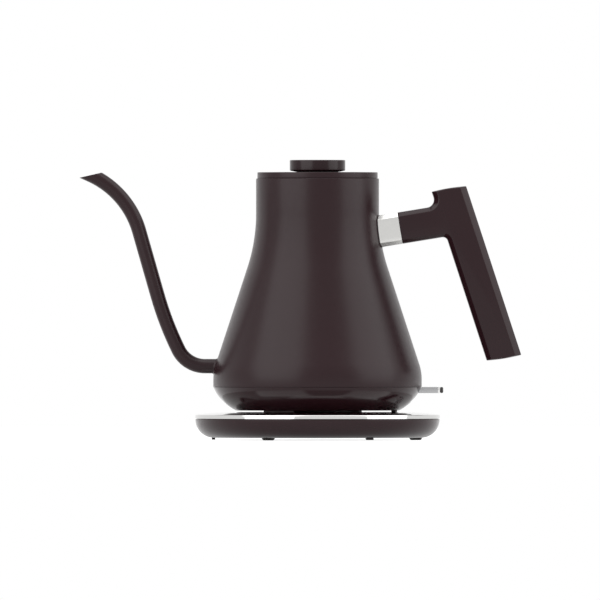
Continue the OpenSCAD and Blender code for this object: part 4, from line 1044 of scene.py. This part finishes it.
def chamfer_depth(pair):
    """How far back from the flat side the chamfer reaches: wide chamfers are also deep."""
    width = (Vector(pair[0]) - Vector(pair[1])).length
    if width > WIDE_CHAMFER:
        return GRIP_SIDE_CHAMFER
    return min(width, ARM_CHAMFER)


def collar_section(inset):
    """The arm's eight-sided section as (up, across) points with small rounds."""
    steps = 6
    h, d = ARM_H / 2 - inset, HANDLE_D / 2 - inset
    c = ARM_CHAMFER - inset * COLLAR_CORNER
    corners = [(-h, -d + c), (-h + c, -d), (h - c, -d), (h, -d + c),
               (h, d - c), (h - c, d), (-h + c, d), (-h, d - c)]
    fine = []
    for p, q in zip(corners, corners[1:] + corners[:1]):
        a, b = Vector(p), Vector(q)
        for i in range(steps):
            fine.append(tuple(a.lerp(b, i / steps)))
    return rounded(fine, COLLAR_EDGE_R, 3)


def wall_reach(up, across, gap):
    """How far along the arm's axis, from the joint, the vessel's wall lies, less a gap."""
    low, high = -COLLAR_SEARCH, 0.0
    for _ in range(40):
        middle = (low + high) / 2
        x, z = arm_point(middle, up)
        outside = math.hypot(x - AXIS_X, across) > vessel_radius(z) + gap
        low, high = (low, middle) if outside else (middle, high)
    return high


def sleeve(name, outer, inner, near, far):
    """A hollow bar along the arm; near and far give its ends at a point of its section."""
    rings = []
    for outline, ends in ((outer, (near, far)), (inner, (far, near))):
        for end in ends:
            ring = []
            for up, across in outline:
                x, z = arm_point(end(up, across), up)
                ring.append((x, across, z))
            rings.append(ring)
    return new_piece(name, *closed_grid(rings), smooth_angle=25)


def make_collar():
    """Bright collar round the arm's root, and the dark gasket between it and the vessel."""
    inner = collar_section(COLLAR_T)
    collar = sleeve("collar_skin", collar_section(COLLAR_INSET), inner,
                    lambda up, across: wall_reach(up, across, GASKET_T),
                    lambda up, across: -COLLAR_GRIP_GAP)
    dress(collar, COLLAR_STEEL, "polished_steel", "kettle", "handle_collar")
    gasket = sleeve("collar_gasket", collar_section(-GASKET_PROUD), inner,
                    lambda up, across: wall_reach(up, across, GASKET_WALL_GAP),
                    lambda up, across: wall_reach(up, across, GASKET_T))
    dress(gasket, FOOT_RUBBER, "rubber", "kettle", "handle_gasket")


# ---------------------------------------- switch lever

def make_lever():
    """Formed steel blade, a rounded hub, a polished band laid on as a painted highlight and a
    dark moulded cap.
    """
    z = (TIP_LOW.z + TIP_HIGH.z) / 2
    half_t = (TIP_HIGH.z - TIP_LOW.z) / 2
    half_w = (TIP_HIGH.y - TIP_LOW.y) / 2
    x0, x1 = AXIS_X + LEVER_PIVOT_X, LEVER_HIGH.x
    blade = block("lever_blade", (x0, -half_w, z - half_t), (x1, half_w, z + half_t))
    bevel(blade, LEVER_BEVEL)
    combine(blade, "UNION", [level_rod("lever_hub", LEVER_HUB_R, (x0, LEVER_LOW.y, z),
                                       (x0, LEVER_HIGH.y, z))])
    cut(blade, level_rod("pin_hole", LEVER_PIN_HOLE_R, (x0, -LEVER_PIN_CUT, z),
                         (x0, LEVER_PIN_CUT, z)))
    dress(blade, LEVER_STEEL, "lever_steel", "lever", "switch_lever")
    # Painted highlight: a brighter polished band laid over the blade's end where the light
    # catches it; its polish also reflects the lamps.
    band = block("lever_highlight_band", (x1 - HIGHLIGHT_BAND_L, -half_w, z - half_t), (x1, half_w, z + half_t))
    bevel(band, LEVER_BEVEL)
    # The band stands slightly proud of the blade, about the blade's middle height.
    for v in band.data.vertices:
        v.co.y *= HIGHLIGHT_BAND_PROUD[0]
        v.co.z = z + (v.co.z - z) * HIGHLIGHT_BAND_PROUD[1]
    dress(band, POLISHED_STEEL, "polished_steel", "lever")
    cap = block("lever_cap", tuple(TIP_LOW), tuple(TIP_HIGH))
    bevel(cap, LEVER_TIP_BEVEL, segments=5)
    dress(cap, LEVER_CAP_PLASTIC, "dark_plastic", "lever", "lever_tip")


# ---------------------------------------- room, lamps and camera

FLOOR_R = 1.6
FLOOR_DROP = 0.02 * MM
FLOOR_COLOUR = (0.78, 0.78, 0.78, 1)
FLOOR_SEEN_COLOUR = (0.34, 0.34, 0.34, 1)
FLOOR_SEEN_GLOW = 0.70
LAMP_DISTANCE = 1.5
LAMP_HEIGHT = 0.95
LAMP_TALL = 2.4
LAMP_TARGET_Z = 0.1
VIEW_DISTANCE = 16.5
VIEW_WIDTH = 0.39
VIEW_X = AXIS_X - 11.39 * MM
VIEW_Z = 91 * MM
SENSOR = 36.0


def make_floor():
    """Pale round floor: it keeps the shadow and is clear when seen from below."""
    ring = [(FLOOR_R * math.cos(a), FLOOR_R * math.sin(a), -FLOOR_DROP) for a in turns(96)]
    mesh = bpy.data.meshes.new("floor")
    mesh.from_pydata(ring, [], [tuple(range(len(ring)))])
    floor = bpy.data.objects.new("floor", mesh)
    bpy.context.scene.collection.objects.link(floor)
    material = bpy.data.materials.new("pale_floor")
    material.use_nodes = True
    nodes, links = material.node_tree.nodes, material.node_tree.links
    nodes.clear()
    out = nodes.new("ShaderNodeOutputMaterial")
    mix = nodes.new("ShaderNodeMixShader")
    path = nodes.new("ShaderNodeLightPath")
    plain = add_node(nodes, "ShaderNodeBsdfDiffuse", {"Color": FLOOR_COLOUR})
    seen = nodes.new("ShaderNodeAddShader")
    part = add_node(nodes, "ShaderNodeBsdfDiffuse", {"Color": FLOOR_SEEN_COLOUR})
    glow = add_node(nodes, "ShaderNodeEmission", {"Strength": FLOOR_SEEN_GLOW})
    either = nodes.new("ShaderNodeMath")
    either.operation = "MAXIMUM"
    side = nodes.new("ShaderNodeNewGeometry")
    below = nodes.new("ShaderNodeMath")
    below.operation = "MULTIPLY"
    clear = nodes.new("ShaderNodeBsdfTransparent")
    final = nodes.new("ShaderNodeMixShader")
    camera_ray, glossy_ray = path.outputs["Is Camera Ray"], path.outputs["Is Glossy Ray"]
    for node, *sources in ((either, camera_ray, glossy_ray),
                           (seen, part.outputs[0], glow.outputs[0]),
                           (mix, either.outputs[0], plain.outputs[0], seen.outputs[0]),
                           (below, side.outputs["Backfacing"], camera_ray),
                           (final, below.outputs[0], mix.outputs[0], clear.outputs[0]),
                           (out, final.outputs[0])):
        for i, source in enumerate(sources):
            links.new(source, node.inputs[i])
    floor.data.materials.append(material)


def make_world():
    """White room."""
    world = bpy.data.worlds.new("room")
    bpy.context.scene.world = world
    world.use_nodes = True
    back = world.node_tree.nodes["Background"]
    back.inputs["Color"].default_value = (1, 1, 1, 1)
    back.inputs["Strength"].default_value = 1.0


def lamp(name, azimuth, height, distance, width, tall, power, lean=0):
    """A soft box: azimuth 0 is on the camera's side, positive to the right; lean tilts it."""
    data = bpy.data.lights.new(name, "AREA")
    data.shape = "RECTANGLE"
    data.size = width
    data.size_y = tall
    data.energy = power
    box = bpy.data.objects.new(name, data)
    bpy.context.scene.collection.objects.link(box)
    a = deg(azimuth)
    target = Vector((AXIS_X, 0, LAMP_TARGET_Z))
    box.location = target + Vector((math.sin(a), -math.cos(a), 0)) * distance
    box.location.z = height
    aim = (target - box.location).to_track_quat("-Z", "Y")
    box.rotation_euler = (aim @ Quaternion((0, 0, 1), deg(lean))).to_euler()
    return box


def make_lamps():
    """Tall soft boxes on the left and on the right, and a level one overhead."""
    lamp("left_soft_box", azimuth=-50, height=LAMP_HEIGHT, distance=LAMP_DISTANCE, width=1.83,
         tall=LAMP_TALL, power=27.8, lean=8)
    lamp("right_soft_box", azimuth=73, height=LAMP_HEIGHT, distance=LAMP_DISTANCE, width=1.61,
         tall=LAMP_TALL, power=23.2, lean=-8)
    top = lamp("top_soft_box", azimuth=0, height=1.7, distance=0.2, width=1.2, tall=1.2, power=8)
    top.rotation_euler = (0, 0, 0)


def make_camera():
    """A long lens, level with the middle of the kettle, that frames a set width."""
    data = bpy.data.cameras.new("camera")
    data.sensor_width = SENSOR
    data.lens = SENSOR * VIEW_DISTANCE / VIEW_WIDTH
    data.clip_start = 1.0
    data.clip_end = 100.0
    camera = bpy.data.objects.new("camera", data)
    bpy.context.scene.collection.objects.link(camera)
    camera.location = (VIEW_X, -VIEW_DISTANCE, VIEW_Z)
    camera.rotation_euler = (math.pi / 2, 0, 0)
    bpy.context.scene.camera = camera


# ---------------------------------------- making it all

bpy.context.scene.view_settings.view_transform = "Standard"
make_camera()
make_world()
make_lamps()
make_floor()
finish_cad_nodes()
make_vessel()
make_spout()
make_spout_root()
make_skirt()
make_pads()
make_tub()
make_plate()
make_feet()
make_lid()
make_knob()
make_spacer()
make_grip()
make_collar()
make_lever()
